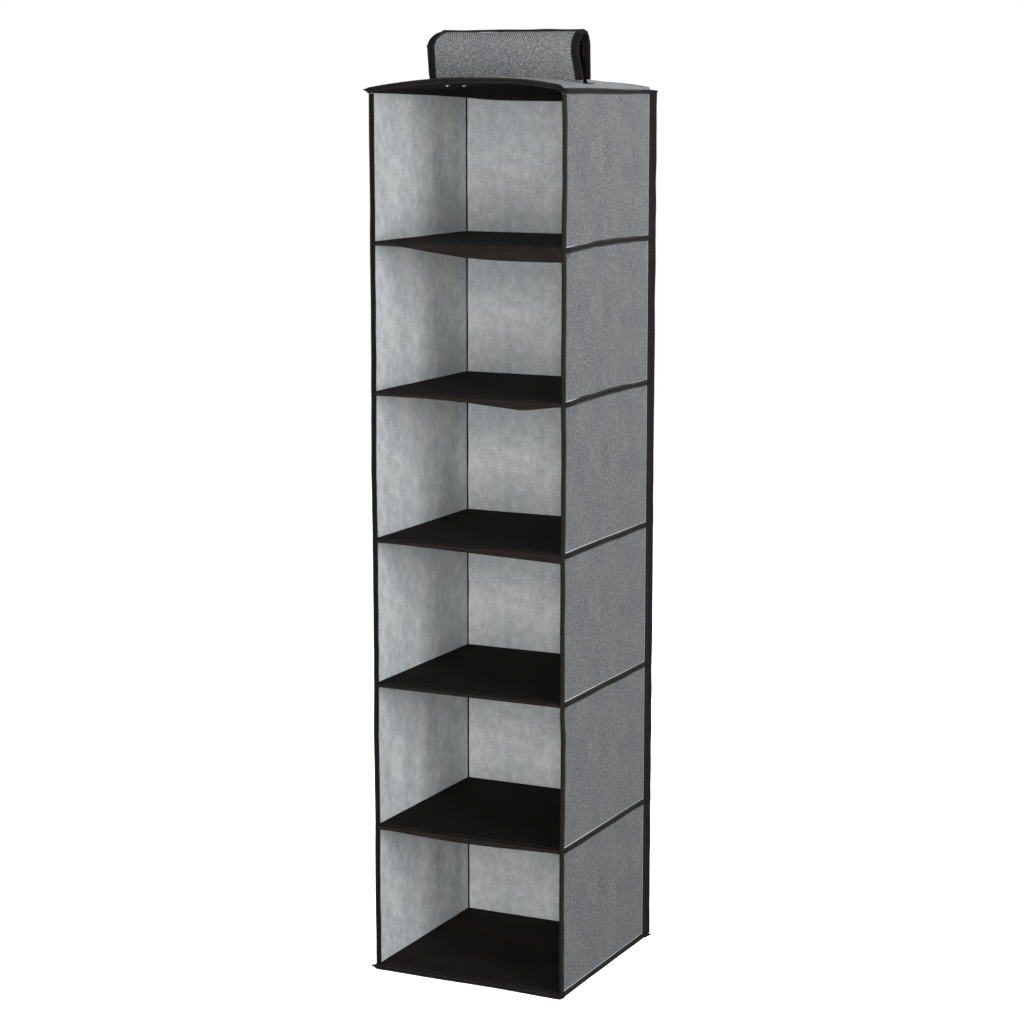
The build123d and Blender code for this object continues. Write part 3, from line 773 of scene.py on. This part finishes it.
NX = 97
for k in range(1, TIERS + 1):
    last = k == TIERS
    word = "base" if last else "shelf"
    tail = "" if last else f"_{k}"
    zc = LEVEL[k]
    x = np.linspace(-HW, HW, NX)
    hd = hem_droop(k, x)
    ripple = waves(700 + k, 6, 6, 26)
    soft = waves(720 + k, 6, 4, 16)
    loop_o, loop_i = [], []
    ply = 0.75 * MM
    n_top, n_front, n_back = 44, 12, 40
    # top face, back to front
    ty = np.linspace(YB - 0.5 * MM, YF + 1.2 * MM, n_top)
    for y in ty:
        edge = min(1.0, (YB - y) / 0.02) * min(1.0, max(0.0, (y - YF)) / 0.012)
        lift = 0.28 * MM * (0.5 + 0.5 * soft(x, y)) * edge
        loop_o.append(np.stack([x, np.full(NX, y), zc + SH + lift], -1))
        loop_i.append(np.stack([x, np.full(NX, np.clip(y, YF + ply, YB - ply)), np.full(NX, zc + SH - ply)], -1))
    # front of the hem, downwards
    for j in range(n_front):
        s = j / (n_front - 1)
        top = zc + SH - 0.7 * MM
        bottom = zc - SH - hd + 0.7 * MM
        zz = top + (bottom - top) * s
        fold = (hd / (13 * MM)) * 0.55 * MM * np.sin(2 * math.pi * (s * 2.6 + 0.12 * ripple(x, 0.0)))
        wave = 0.5 * MM * ripple(x, s * 0.01) * np.clip(hd / (4 * MM), 0.15, 1) * math.sin(math.pi * s * 0.8)
        y = YF + 0.25 * MM * abs(2 * s - 1) ** 3 - np.abs(fold) * 0.9 - wave * 0.6
        loop_o.append(np.stack([x, y, zz], -1))
        loop_i.append(np.stack([x, np.maximum(y + ply, YF + 0.3 * MM), np.minimum(zz, zc + SH - ply)], -1))
    # fold at the bottom and back up to the board's underside
    r = np.clip(hd / (3 * MM), 0, 1)
    rows = [(1.3 * MM, 0.0, 0.8 * MM, 0.95 * MM), (2.4 * MM, 0.9 * MM, 1.9 * MM, 1.6 * MM)]
    for dy, up, dyi, upi in rows:
        loop_o.append(np.stack([x, np.full(NX, YF + dy), zc - SH - hd + up * r], -1))
        loop_i.append(np.stack([x, np.full(NX, YF + max(dyi, 0.8 * MM)), np.minimum(zc - SH - hd + ply + (upi - ply) * r, zc - SH + ply)], -1))
    reach = 6 * MM + 1.9 * hd
    for s in (0.25, 0.5, 0.75, 1.0):
        y = YF + 2.6 * MM + reach * s
        up = smooth(s, 0, 1)
        loop_o.append(np.stack([x, y, zc - SH - hd * (1 - up) + 0.9 * MM * r * (1 - up)], -1))
        loop_i.append(np.stack([x, y, zc - SH + ply - hd * (1 - up) + 0.9 * MM * r * (1 - up)], -1))
    y0 = YF + 2.6 * MM + reach
    for s in np.linspace(0, 1, n_back)[1:]:
        y = y0 + (YB - 0.5 * MM - y0) * s
        edge = min(1.0, s / 0.05) * min(1.0, (1 - s) / 0.05)
        sag = 0.30 * MM * (0.5 + 0.5 * soft(x + 1.0, y)) * edge
        loop_o.append(np.stack([x, y, zc - SH - sag], -1))
        loop_i.append(np.stack([x, np.minimum(y, YB - ply), np.full(NX, zc - SH + ply)], -1))
    for s in (0.25, 0.5, 0.75):
        z = zc - SH + 2 * SH * s
        loop_o.append(np.stack([x, np.full(NX, YB - 0.1 * MM), np.full(NX, z)], -1))
        loop_i.append(np.stack([x, np.full(NX, YB - ply), np.full(NX, zc - SH + ply + 2 * (SH - ply) * s)], -1))
    outer, inner = np.stack(loop_o, 1), np.stack(loop_i, 1)
    run = np.concatenate([np.zeros((NX, 1)), np.cumsum(np.linalg.norm(np.diff(np.concatenate([outer, outer[:, :1]], 1), axis=1), axis=-1), axis=1)], 1)
    uv = np.stack([np.repeat(x[:, None] + HW, run.shape[1], 1), run], -1)
    b = Build()
    o, i = b.verts(outer), b.verts(inner)
    hem = n_top + n_front + 1
    b.quads(o[:, :n_top], uv[:, :n_top], 0)
    # The hem's front faces take slot 2, the lighter hem copy: painted light.
    b.quads(o[:, n_top - 1 : hem], uv[:, n_top - 1 : hem], 2)
    b.quads(np.concatenate([o[:, hem - 1 :], o[:, :1]], 1), uv[:, hem - 1 :], 0)
    b.quads(i, uv, 0, close=True, flip=True)
    b.quads(np.stack([o[0], i[0]]), np.stack([uv[0], uv[0]]), 0, close=True)
    b.quads(np.stack([o[-1], i[-1]]), np.stack([uv[-1], uv[-1]]), 0, close=True, flip=True)
    # Topstitching along the front hem.
    m = 120
    xs = np.linspace(-HW + 4 * MM, HW - 4 * MM, m)
    b.stitches(np.stack([xs, np.full(m, YF + 7 * MM), np.full(m, zc + SH + 0.12 * MM)], -1), (0, 0, 1), 1, lift=0.1 * MM)
    # The base takes the lighter base copy in place of the black one: painted light.
    fabric = b.make(f"{word}_fabric{tail}", [BLACK_BASE_LIT if last else BLACK, THREAD_M, BLACK_HEM_LIT])
    dress(fabric, BODY[k], [f"{word}_sleeve{tail}"])

    # Tape over the seams between this shelf and the walls.
    b = Build()
    width, thick = 7.4 * MM, 1.5 * MM
    prof = strip_profile(width, thick)
    for side in (-1, 1):
        n = 70
        y = np.linspace(YF + (-0.8 if last else 9.6) * MM, YB + (7.4 if last else -0.3) * MM, n)
        s = (y - YF) / D
        wob = waves(800 + 10 * k + side, 5, 4, 18)
        z = zc - SIDE_DROOP[k] * MM * ease(s) + 0.45 * MM * wob(y, 0.0) * smooth(s, 0, 0.2) + (1.7 * MM * np.sin(math.pi * s) if k in (1, 2) else 0)
        proud = 0.95 * MM * smooth(SIDE_DROOP[k] * MM * ease(s), 0, 0.6 * MM) * smooth(s, 0.034, 0.060)
        xx = side * (HW + 0.05 * MM + 0.25 * MM * (0.5 + 0.5 * wob(y, 0.9)) + proud)
        ear = np.clip((y - YB + 1.2 * MM) / (8.6 * MM), 0, 1)
        if last:
            xx = xx + side * 8.6 * MM * ear
            z = z + 1.4 * MM * ear
        path = np.stack([xx * np.ones(n), y, z], -1)
        scale = (1 + 0.05 * wob(y, 0.4)) * (1 - 0.72 * ear**1.5 if last else 1.0)
        b.sweep(path, (0, 0, 1), (side, 0, 0), prof, 0, scale=scale)
        inside = slice(2, 60 if last else n - 1)
        up = np.array([0, 0, 1.0])
        for row in (-0.32, 0.32):
            b.stitches(path[inside] + up * row * width + np.array([side, 0, 0]) * 0.86 * thick, (side, 0, 0), 1)
    n = 60
    x = np.linspace(-HW + 0.5 * MM, HW - 0.5 * MM, n)
    wob = waves(880 + k, 5, 4, 18)
    z = zc + 0.5 * MM * wob(x, 0.0)
    y = YB + 0.25 * MM * (0.5 + 0.5 * wob(x, 0.5))
    path = np.stack([x, y, z], -1)
    b.sweep(path, (0, 0, 1), (0, 1, 0), prof, 0, scale=1 + 0.05 * wob(x, 0.9))
    for row in (-0.32, 0.32):
        b.stitches(path[1:-1] + np.array([0, 0.86 * thick, row * width]), (0, 1, 0), 1)
    if last:
        n = 90
        x = np.linspace(-HW - 7.5 * MM, HW + 6.5 * MM, n)
        ear = smooth(np.abs(x), HW - 1 * MM, HW + 7.5 * MM)
        wob = waves(890, 5, 4, 16)
        z = zc - 0.2 * MM + 0.5 * MM * wob(x, 0.0) + 1.2 * MM * ear
        path = np.stack([x, np.full(n, YF - 0.15 * MM), z], -1)
        b.sweep(path, (0, 0, 1), (0, -1, 0), prof, 0, scale=(1 + 0.04 * wob(x, 0.4)) * (1 - 0.8 * ear))
        for row in (-0.32, 0.32):
            b.stitches(path[6:-6] + np.array([0, -0.86 * thick, row * width]), (0, -1, 0), 1)
    strips = b.make(f"{word}_tape{tail}", [TAPE, THREAD_M])
    dress(strips, BODY[k], [f"{word}_binding{tail}"])
    board = frame["nodes"][f"{word}_board{tail}"]
    board.data.materials.clear()
    board.data.materials.append(BOARD_M)

# ------------------------------------------------------------------ top panel
nx, ny = 97, 64


def fuller(x):
    """The cover stands a little off the board along the right half of the open front."""
    return 3.6 * MM * smooth(x, 0.0, 0.105) * (1 - smooth(x, HW - 6 * MM, HW + 1 * MM))


x = np.linspace(-HW, HW, nx)
y = np.linspace(YF, YB, ny)
xx, yy = np.meshgrid(x, y, indexing="ij")
crease = waves(901, 8, 5, 22)
pull = np.exp(-(((yy - 0.0) / 0.05) ** 2)) * np.clip(1 - np.abs(xx) / HW, 0, 1)
edge = smooth(HW - np.abs(xx), 0, 0.02) * smooth(np.minimum(yy - YF, YB - yy), 0, 0.02)
flat_zone = 1 - np.exp(-(((yy) / 0.036) ** 4)) * (np.abs(xx) < STRAP_W + 0.002)
lift = (0.35 * MM + 0.9 * MM * np.clip(crease(xx, yy), 0, 1)) * edge * flat_zone
foot = smooth(yy, -0.075, -0.040)
lift = lift + fuller(xx) * (1 - foot)
top_z = Z_TOP + STACK + rise(xx, yy) + lift
under = Z_TOP + STACK - 0.75 * MM + rise(xx, yy) + fuller(xx) * (1 - foot) * 0.9
grid_o, grid_i = np.stack([xx, yy, top_z], -1), np.stack([xx, yy, under], -1)
uv = np.stack([xx + HW, yy - YF], -1)
# It turns down over the edges of the board.
for side in (-1, 1):
    rim_o, rim_i, rim_uv = [], [], []
    for down, off in ((0.25 * MM, 0.22 * MM), (0.9 * MM, 0.36 * MM), (3.0 * MM, 0.38 * MM), (5.6 * MM, 0.34 * MM)):
        edge_y = yy[0]
        rim_o.append(np.stack([np.full(ny, side * (HW + off)), edge_y, Z_TOP + STACK - down + np.zeros(ny)], -1))
        rim_i.append(np.stack([np.full(ny, side * (HW + 0.03 * MM)), edge_y, Z_TOP + STACK - np.maximum(down, 0.8 * MM) + np.zeros(ny)], -1))
        rim_uv.append(np.stack([np.full(ny, (2 * HW if side > 0 else 0) + side * (down + off)), edge_y - YF], -1))
    if side > 0:
        grid_o, grid_i, uv = (np.concatenate([g, np.array(r)]) for g, r in ((grid_o, rim_o), (grid_i, rim_i), (uv, rim_uv)))
    else:
        grid_o, grid_i, uv = (np.concatenate([np.array(r)[::-1], g]) for g, r in ((grid_o, rim_o), (grid_i, rim_i), (uv, rim_uv)))
b = Build()
b.slab(grid_o, grid_i, uv)
# Under the rear arch the cover turns down to meet the back wall.
uq, vq = np.meshgrid(np.linspace(-1, 1, 49), np.linspace(0, 1, 9), indexing="ij")
xq = uq * (HW - WT)
zq = Z_TOP - 0.8 * MM + vq * np.maximum(rise(xq, YB) - 0.05 * MM, 0.02 * MM)
b.slab(np.stack([xq, np.full(xq.shape, YB), zq], -1), np.stack([xq, np.full(xq.shape, YB - WT), zq], -1), np.stack([xq + 0.5, zq], -1))
# The top takes the darker heather copy: painted shade.
top_fabric = b.make("top_fabric", [HEATHER_SHADED, BLACK])
dress(top_fabric, "top", ["top_cover"])

# The lining hangs a little slack towards the back wall.
xi = np.linspace(-(HW - WT - 0.25 * MM), HW - WT - 0.25 * MM, nx)
yi = np.linspace(YF + 0.05 * MM, YB - WT - 0.25 * MM, ny)
xx, yy = np.meshgrid(xi, yi, indexing="ij")
t = (yy - YF) / D
s = np.abs(xx) / HW
hang = (9.5 + 6.0 * (1 - s**5) + 0.6 * waves(911, 5, 6, 18)(xx, 0.0)) * MM
rear = smooth(t, 0.60, 1.0) ** 1.3
sides = (2.2 + 6.8 * t) * MM * smooth(s, 0.86, 1.0)
slack = 0.5 * MM * np.clip(waves(912, 7, 6, 24)(xx, yy), 0, 1) * smooth(HW - np.abs(xx), 0, 0.02) * smooth(yy - YF, 0, 0.03) * (1 - np.exp(-(((yy - 0.0) / 0.04) ** 4)))
low_z = (1 - rear) * (Z_TOP - 0.8 * MM + rise(xx, yy) - sides - slack) + rear * (Z_TOP - hang)
b = Build()
b.slab(np.stack([xx, yy, low_z], -1), np.stack([xx, yy, low_z + 0.7 * MM], -1), np.stack([xx + HW, yy - YF], -1), (0, 0, 0))
lining = b.make("top_lining_fabric", [BLACK])
dress(lining, "top", ["top_lining"])

b = Build()
width, thick = 7.6 * MM, 1.5 * MM
prof = strip_profile(width, thick)
n = 120
x = np.linspace(-HW - 8.0 * MM, HW + 7.0 * MM, n)
inside = np.clip(x, -HW, HW)
ear = smooth(np.abs(x), HW - 1 * MM, HW + 8 * MM)
wob = waves(921, 5, 4, 16)
z = Z_TOP + ARCH_F * (1 - (inside / HW) ** 2) + 0.5 * MM + 0.8 * MM * ear + 0.4 * MM * wob(x, 0.0) + fuller(x)
slope = np.gradient(z, x)
norm = np.sqrt(1 + slope**2)
across = np.stack([-slope / norm, np.zeros(n), 1 / norm], -1)
path = np.stack([x, np.full(n, YF - 0.1 * MM), z], -1)
b.sweep(path, across, (0, -1, 0), prof, 0, scale=(1 + 0.04 * wob(x, 0.4)) * (1 - 0.8 * ear))
for row in (-0.32, 0.32):
    b.stitches(path[7:-7] + across[7:-7] * row * width + np.array([0, -0.86 * thick, 0]), (0, -1, 0), 1)
for side in (-1, 1):
    n = 76
    y = np.linspace(YF - 0.8 * MM, YB + 6.8 * MM, n)
    wob = waves(930 + side, 5, 4, 18)
    ear = np.clip((y - YB + 1.2 * MM) / (8.0 * MM), 0, 1)
    back = smooth((y - YF) / D, 0.12, 1.0)
    path = np.stack([side * (HW + 0.45 * MM + 0.25 * MM * (0.5 + 0.5 * wob(y, 0.6)) + 7.4 * MM * ear), y, Z_TOP + (0.5 - 2.6 * back) * MM + 0.35 * MM * wob(y, 0.0) + 0.6 * MM * ear], -1)
    b.sweep(path, (0, 0, 1), (side, 0, 0), prof, 0, scale=(1 + 0.04 * wob(y, 0.4)) * (1 - 0.26 * back) * (1 - 0.6 * ear**1.5))
    for row in (-0.32, 0.32):
        b.stitches(path[2:66] + np.stack([np.full(64, side * 0.86 * thick), np.zeros(64), row * width * (1 - 0.26 * back[2:66])], -1), (side, 0, 0), 1)
n = 60
x = np.linspace(-HW + 0.5 * MM, HW - 0.5 * MM, n)
wob = waves(940, 5, 4, 18)
path = np.stack([x, YB + 0.25 * MM * (0.5 + 0.5 * wob(x, 0.5)), Z_TOP + 0.4 * MM + rise(x, YB) + 0.4 * MM * wob(x, 0.0)], -1)
b.sweep(path, (0, 0, 1), (0, 1, 0), prof, 0, scale=1 + 0.04 * wob(x, 0.9))
for row in (-0.32, 0.32):
    b.stitches(path[1:-1] + np.array([0, 0.86 * thick, row * width]), (0, 1, 0), 1)
top_tape = b.make("top_tape", [TAPE, THREAD_M])
dress(top_tape, "top", ["top_binding"])

# ------------------------------------------------------------------ rod strap
CROWN_Z = 20.6 * MM
FLAP_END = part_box("strap_rear")[0].z


def strap_line(x, kind):
    """Centreline of the strap or the tab at one x, as (y, z) points and the outward normals; it runs from the foot's free edge."""
    thick = 1.6 * MM if kind == "strap" else 1.0 * MM
    sign = -1 if kind == "strap" else 1
    mid = ROD_R + 0.8 * MM if kind == "strap" else 12.3 * MM
    far = 36 * MM
    r = 2.2 * MM
    pts = []
    for q in np.linspace(far, mid + r, 9):
        pts.append((sign * q, Z_TOP + STACK + thick / 2 + rise(x, sign * q)))
    base = pts[-1][1] + r
    inner = sign * (mid + r)
    for a in np.linspace(0, math.pi / 2, 5)[1:]:
        pts.append((inner - sign * r * math.sin(a), base - r * math.cos(a)))
    if kind == "tab":
        for z in np.linspace(base, -14 * MM, 12)[1:]:
            pts.append((sign * mid, z))
    else:
        for z in np.linspace(base, 0, 18)[1:]:
            pts.append((-mid, z))
        for a in np.linspace(0, math.pi, 41)[1:]:
            pts.append((-mid * math.cos(a), CROWN_Z * math.sin(a)))
        for z in np.linspace(0, FLAP_END - 6 * MM * (x / STRAP_W) ** 2, 18)[1:]:
            pts.append((mid, z))
    pts = np.array(pts)
    tan = np.gradient(pts, axis=0)
    tan /= np.linalg.norm(tan, axis=1, keepdims=True)
    nrm = np.stack([-tan[:, 1], tan[:, 0]], -1)
    if kind == "tab":
        nrm = -nrm
    return pts, nrm


def eased(stations, values, count, rounds=5):
    out = np.interp(np.arange(count), stations, values) * MM
    for _ in range(rounds):
        pad = np.concatenate([out[:1], out, out[-1:]])
        out = 0.25 * pad[:-2] + 0.5 * pad[1:-1] + 0.25 * pad[2:]
    return out


def strap_sheet(name, kind, half, materials):
    nx = 73
    thick = 1.6 * MM if kind == "strap" else 1.0 * MM
    base, _n = strap_line(0.0, kind)
    m = len(base)
    arc = np.concatenate([[0], np.cumsum(np.linalg.norm(np.diff(base, axis=0), axis=1))])
    field = waves(950 if kind == "strap" else 960, 7, 5, 17)
    if kind == "strap":
        # Its side edges are not straight: the load draws them in, and the corners round off towards the crown.
        left = eased([0, 12, 14, 22, 30, 35, 41, 49, 60, 70, 86], [-113, -114, -117, -118.5, -120, -118.5, -113, -106.5, -107, -109, -109], m)
        right = eased([0, 12, 14, 20, 26, 32, 40, 49, 60, 70, 86], [113, 113, 113, 109.5, 106, 106.5, 108, 108.5, 108, 108, 108.5], m)
        left[30] -= 0.6 * MM
        left[31] -= 1.2 * MM
    else:
        left, right = np.full(m, -half), np.full(m, half)
        right[13:] -= 2.5 * MM
    outer, inner, uvs, mids, nrms = [], [], [], [], []
    for q in np.linspace(-1, 1, nx):
        x0 = q * half
        pts, nrm = strap_line(x0, kind)
        z = pts[:, 1]
        upright = smooth(z, Z_TOP + 0.016, Z_TOP + 0.03)
        x = left + (right - left) * (q + 1) / 2
        if kind == "strap":
            puff = upright * (1 - abs(q) ** 4) * (0.9 * MM * np.sin(math.pi * np.clip((z + 0.046) / 0.05, 0, 1)) + 0.6 * MM * field(x0, arc))
            puff = np.where(pts[:, 0] > 0.012, 0.3 * MM * field(x0, arc), puff)
        else:
            puff = 0.3 * MM * upright * field(x0, arc)
        c = np.stack([x, pts[:, 0] + nrm[:, 0] * puff, pts[:, 1] + nrm[:, 1] * puff], -1)
        n3 = np.stack([np.zeros(m), nrm[:, 0], nrm[:, 1]], -1)
        outer.append(c + n3 * thick / 2)
        inner.append(c - n3 * thick / 2)
        mids.append(c)
        nrms.append(n3)
        uvs.append(np.stack([np.full(m, x0 + half), arc], -1))
    b = Build()
    b.slab(np.array(outer), np.array(inner), np.array(uvs), (0, 1, 0))
    ob = b.make(name, materials)
    return ob, np.array(mids), np.array(nrms), arc


strap, MIDS, NRMS, ARC = strap_sheet("rod_strap", "strap", STRAP_W, [HEATHER_STRAP, BLACK])
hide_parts("strap_front", "strap_rear")

hs = 0.8 * MM
t = TAPE_T
w = 10.5 * MM
half = [(w, hs), (w, hs + 0.7 * t), (w - 0.3 * MM, hs + t), (w - 2.0 * MM, hs + t), (w - 2.4 * MM, hs + 0.84 * t), (w - 2.8 * MM, hs + t), (w * 0.4, hs + 1.1 * t), (1.0 * MM, hs + 1.08 * t), (-0.4 * MM, hs + 0.75 * t), (-0.9 * MM, hs * 0.6)]
profile = np.array(half + [(-1.05 * MM, 0)] + [(a, -o) for a, o in half[::-1]] + [(0, -hs), (0, hs)])
b = Build()
begin = 13
for side, col in ((-1, 0), (1, -1)):
    path, nrm = MIDS[col][begin:], NRMS[col][begin:]
    wob = waves(970 + side, 5, 5, 25)
    inward = np.array([-float(side), 0, 0])
    b.sweep(path, inward, nrm, profile, 0, scale=1 + 0.05 * wob(ARC[begin:], 0.0))
    for face in (1, -1):
        b.stitches(path[:-1] + inward * (w - 2.4 * MM) + nrm[:-1] * face * (hs + 0.88 * t), nrm[:-1] * face, 1)
low = MIDS[:, -1].copy()
lo_n = NRMS[:, -1]
b.sweep(low[3:-3] + np.array([0, 0, 0.0]), (0, 0, 1), lo_n[3:-3], profile, 0)
b.stitches(low[8:-8] + np.array([0, 0, w - 2.4 * MM]) + lo_n[8:-8] * (hs + 0.88 * t), lo_n[8:-8], 1)
b.stitches(low[8:-8] + np.array([0, 0, w - 2.4 * MM]) - lo_n[8:-8] * (hs + 0.88 * t), -lo_n[8:-8], 1)
strap_tape = b.make("strap_tape", [TAPE, THREAD_M])
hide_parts("strap_front_binding", "strap_rear_binding")

# The bound seam stands up along the crown, and its ends stick out.
n = 90
x_lo, x_hi = MIDS[0, 49, 0] - 2.5 * MM, MIDS[-1, 49, 0] + 4.0 * MM
x = np.linspace(x_lo, x_hi, n)
ear = np.maximum(1 - smooth(x, x_lo, x_lo + 6 * MM), smooth(x, x_hi - 6 * MM, x_hi))
wob = waves(980, 6, 5, 22)
z = CROWN_Z + 0.6 * MM + 0.35 * MM * wob(x, 0.0) - 1.6 * MM * ear
height = 3.4 * MM
fin = [(1.15 * MM, 0.0), (1.15 * MM, 0.45 * height), (1.05 * MM, 0.85 * height), (0.5 * MM, height)]
prof = np.array(fin + [(-a, o) for a, o in fin[::-1]])
b = Build()
path = np.stack([x, 0.5 * MM * wob(x, 0.7), z], -1)
b.sweep(path, (0, 1, 0), (0, 0, 1), prof, 0, thick=(1 + 0.07 * wob(x, 0.4)) * (1 - 0.55 * ear))
for face in (1, -1):
    b.stitches(path[4:-4] + np.array([0, face * 1.12 * MM, 0.45 * height]), (0, face, 0), 1)
crown = b.make("crown_tape", [TAPE, THREAD_M])
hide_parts("crown_binding")
for piece in (strap, strap_tape, crown):
    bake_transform(piece)

tab, TMIDS, TNRMS, TARC = strap_sheet("closure_tab", "tab", STRAP_W - 6 * MM, [BLACK, BLACK])
dress(tab, "top", ["strap_tab"])

for name, m in (("loop_tape", LOOP), ("hook_tape", HOOK), ("rivets", METAL), ("washers", METAL), ("top_board", BOARD_M)):
    ob = frame["nodes"][name]
    ob.data.materials.clear()
    ob.data.materials.append(m)
for ob in frame["nodes"].values():
    ob.data.polygons.foreach_set("use_smooth", np.ones(len(ob.data.polygons), bool))
    ob.data.set_sharp_from_angle(angle=math.radians(35))

# ------------------------------------------------------------------ stage and light
scene = bpy.context.scene
scene.view_settings.view_transform = "Standard"
scene.view_settings.look = "None"
world = bpy.data.worlds.new("studio")
scene.world = world
world.use_nodes = True
bg = world.node_tree.nodes["Background"]
bg.inputs[0].default_value = (0.99, 0.995, 1.0, 1)
bg.inputs[1].default_value = 0.36

FLOOR_Z = LEVEL[TIERS] - 0.16


def plain(name, colour, emit):
    s = Shader(name, 0.9, Specular_IOR_Level=0.0)
    p = s.place()
    fine = s.noise(s.scaled(p, (30, 30, 30)), 3.0, 0.5)
    s.colour(s.ramp(fine, (0.3, tuple(c * 0.985 for c in colour)), (0.7, colour)))
    s.b.inputs["Emission Color"].default_value = (1, 1, 1, 1)
    s.b.inputs["Emission Strength"].default_value = emit
    return s.m


b = Build()
ring = np.array([(7.0 * math.cos(a), 7.0 * math.sin(a), FLOOR_Z) for a in np.linspace(0, 2 * math.pi, 65)[:-1]])
b.face(b.verts(ring))
floor = b.make("floor", [plain("pale_floor", (0.85, 0.85, 0.85), 0.95)], outward=False)
floor.visible_diffuse = False
floor.visible_glossy = False

dome_v = []
lat = np.linspace(-0.35, math.pi / 2, 14)
lon = np.linspace(0, 2 * math.pi, 49)[:-1]
pts = np.array([[(20 * math.cos(a) * math.cos(o), 20 * math.cos(a) * math.sin(o), 20 * math.sin(a)) for a in lat] for o in lon])
b = Build()
idx = b.verts(pts)
b.quads(np.concatenate([idx, idx[:1]]), None)
glow = Shader("backdrop_white", 1.0, Specular_IOR_Level=0.0)
glow.b.inputs["Base Color"].default_value = (0, 0, 0, 1)
glow.b.inputs["Emission Color"].default_value = (1, 1, 1, 1)
glow.b.inputs["Emission Strength"].default_value = 1.0
dome = b.make("backdrop", [glow.m], outward=False)
for flag in ("visible_diffuse", "visible_glossy", "visible_shadow", "visible_transmission"):
    setattr(dome, flag, False)


def lamp(name, at, aim, power, size, colour=(1, 1, 1)):
    data = bpy.data.lights.new(name, "AREA")
    data.shape = "RECTANGLE"
    data.size, data.size_y = size
    data.energy = power
    data.color = colour
    ob = bpy.data.objects.new(name, data)
    scene.collection.objects.link(ob)
    at, aim = Vector(at), Vector(aim)
    ob.location = at
    ob.rotation_euler = (aim - at).to_track_quat("-Z", "Y").to_euler()
    ob.visible_camera = False
    return ob


lamp("key", (2.3, -1.35, 0.05), (0, 0, -0.45), 39, (0.6, 1.7), (0.965, 0.985, 1.0))
lamp("front", (1.05, -3.0, -0.40), (0, 0, -0.62), 66, (1.6, 2.2), (1.0, 0.992, 0.98))
lamp("right", (1.5, 0.75, 0.62), (0.14, 0, -0.35), 24, (0.8, 0.8), (1.0, 0.995, 0.985))
lamp("left", (-2.4, -1.2, 0.3), (0, 0, -0.6), 8, (1.2, 1.6), (0.97, 0.985, 1.0))
lamp("rear", (-0.8, 2.6, 0.8), (0, 0, -0.5), 40, (1.6, 1.6))
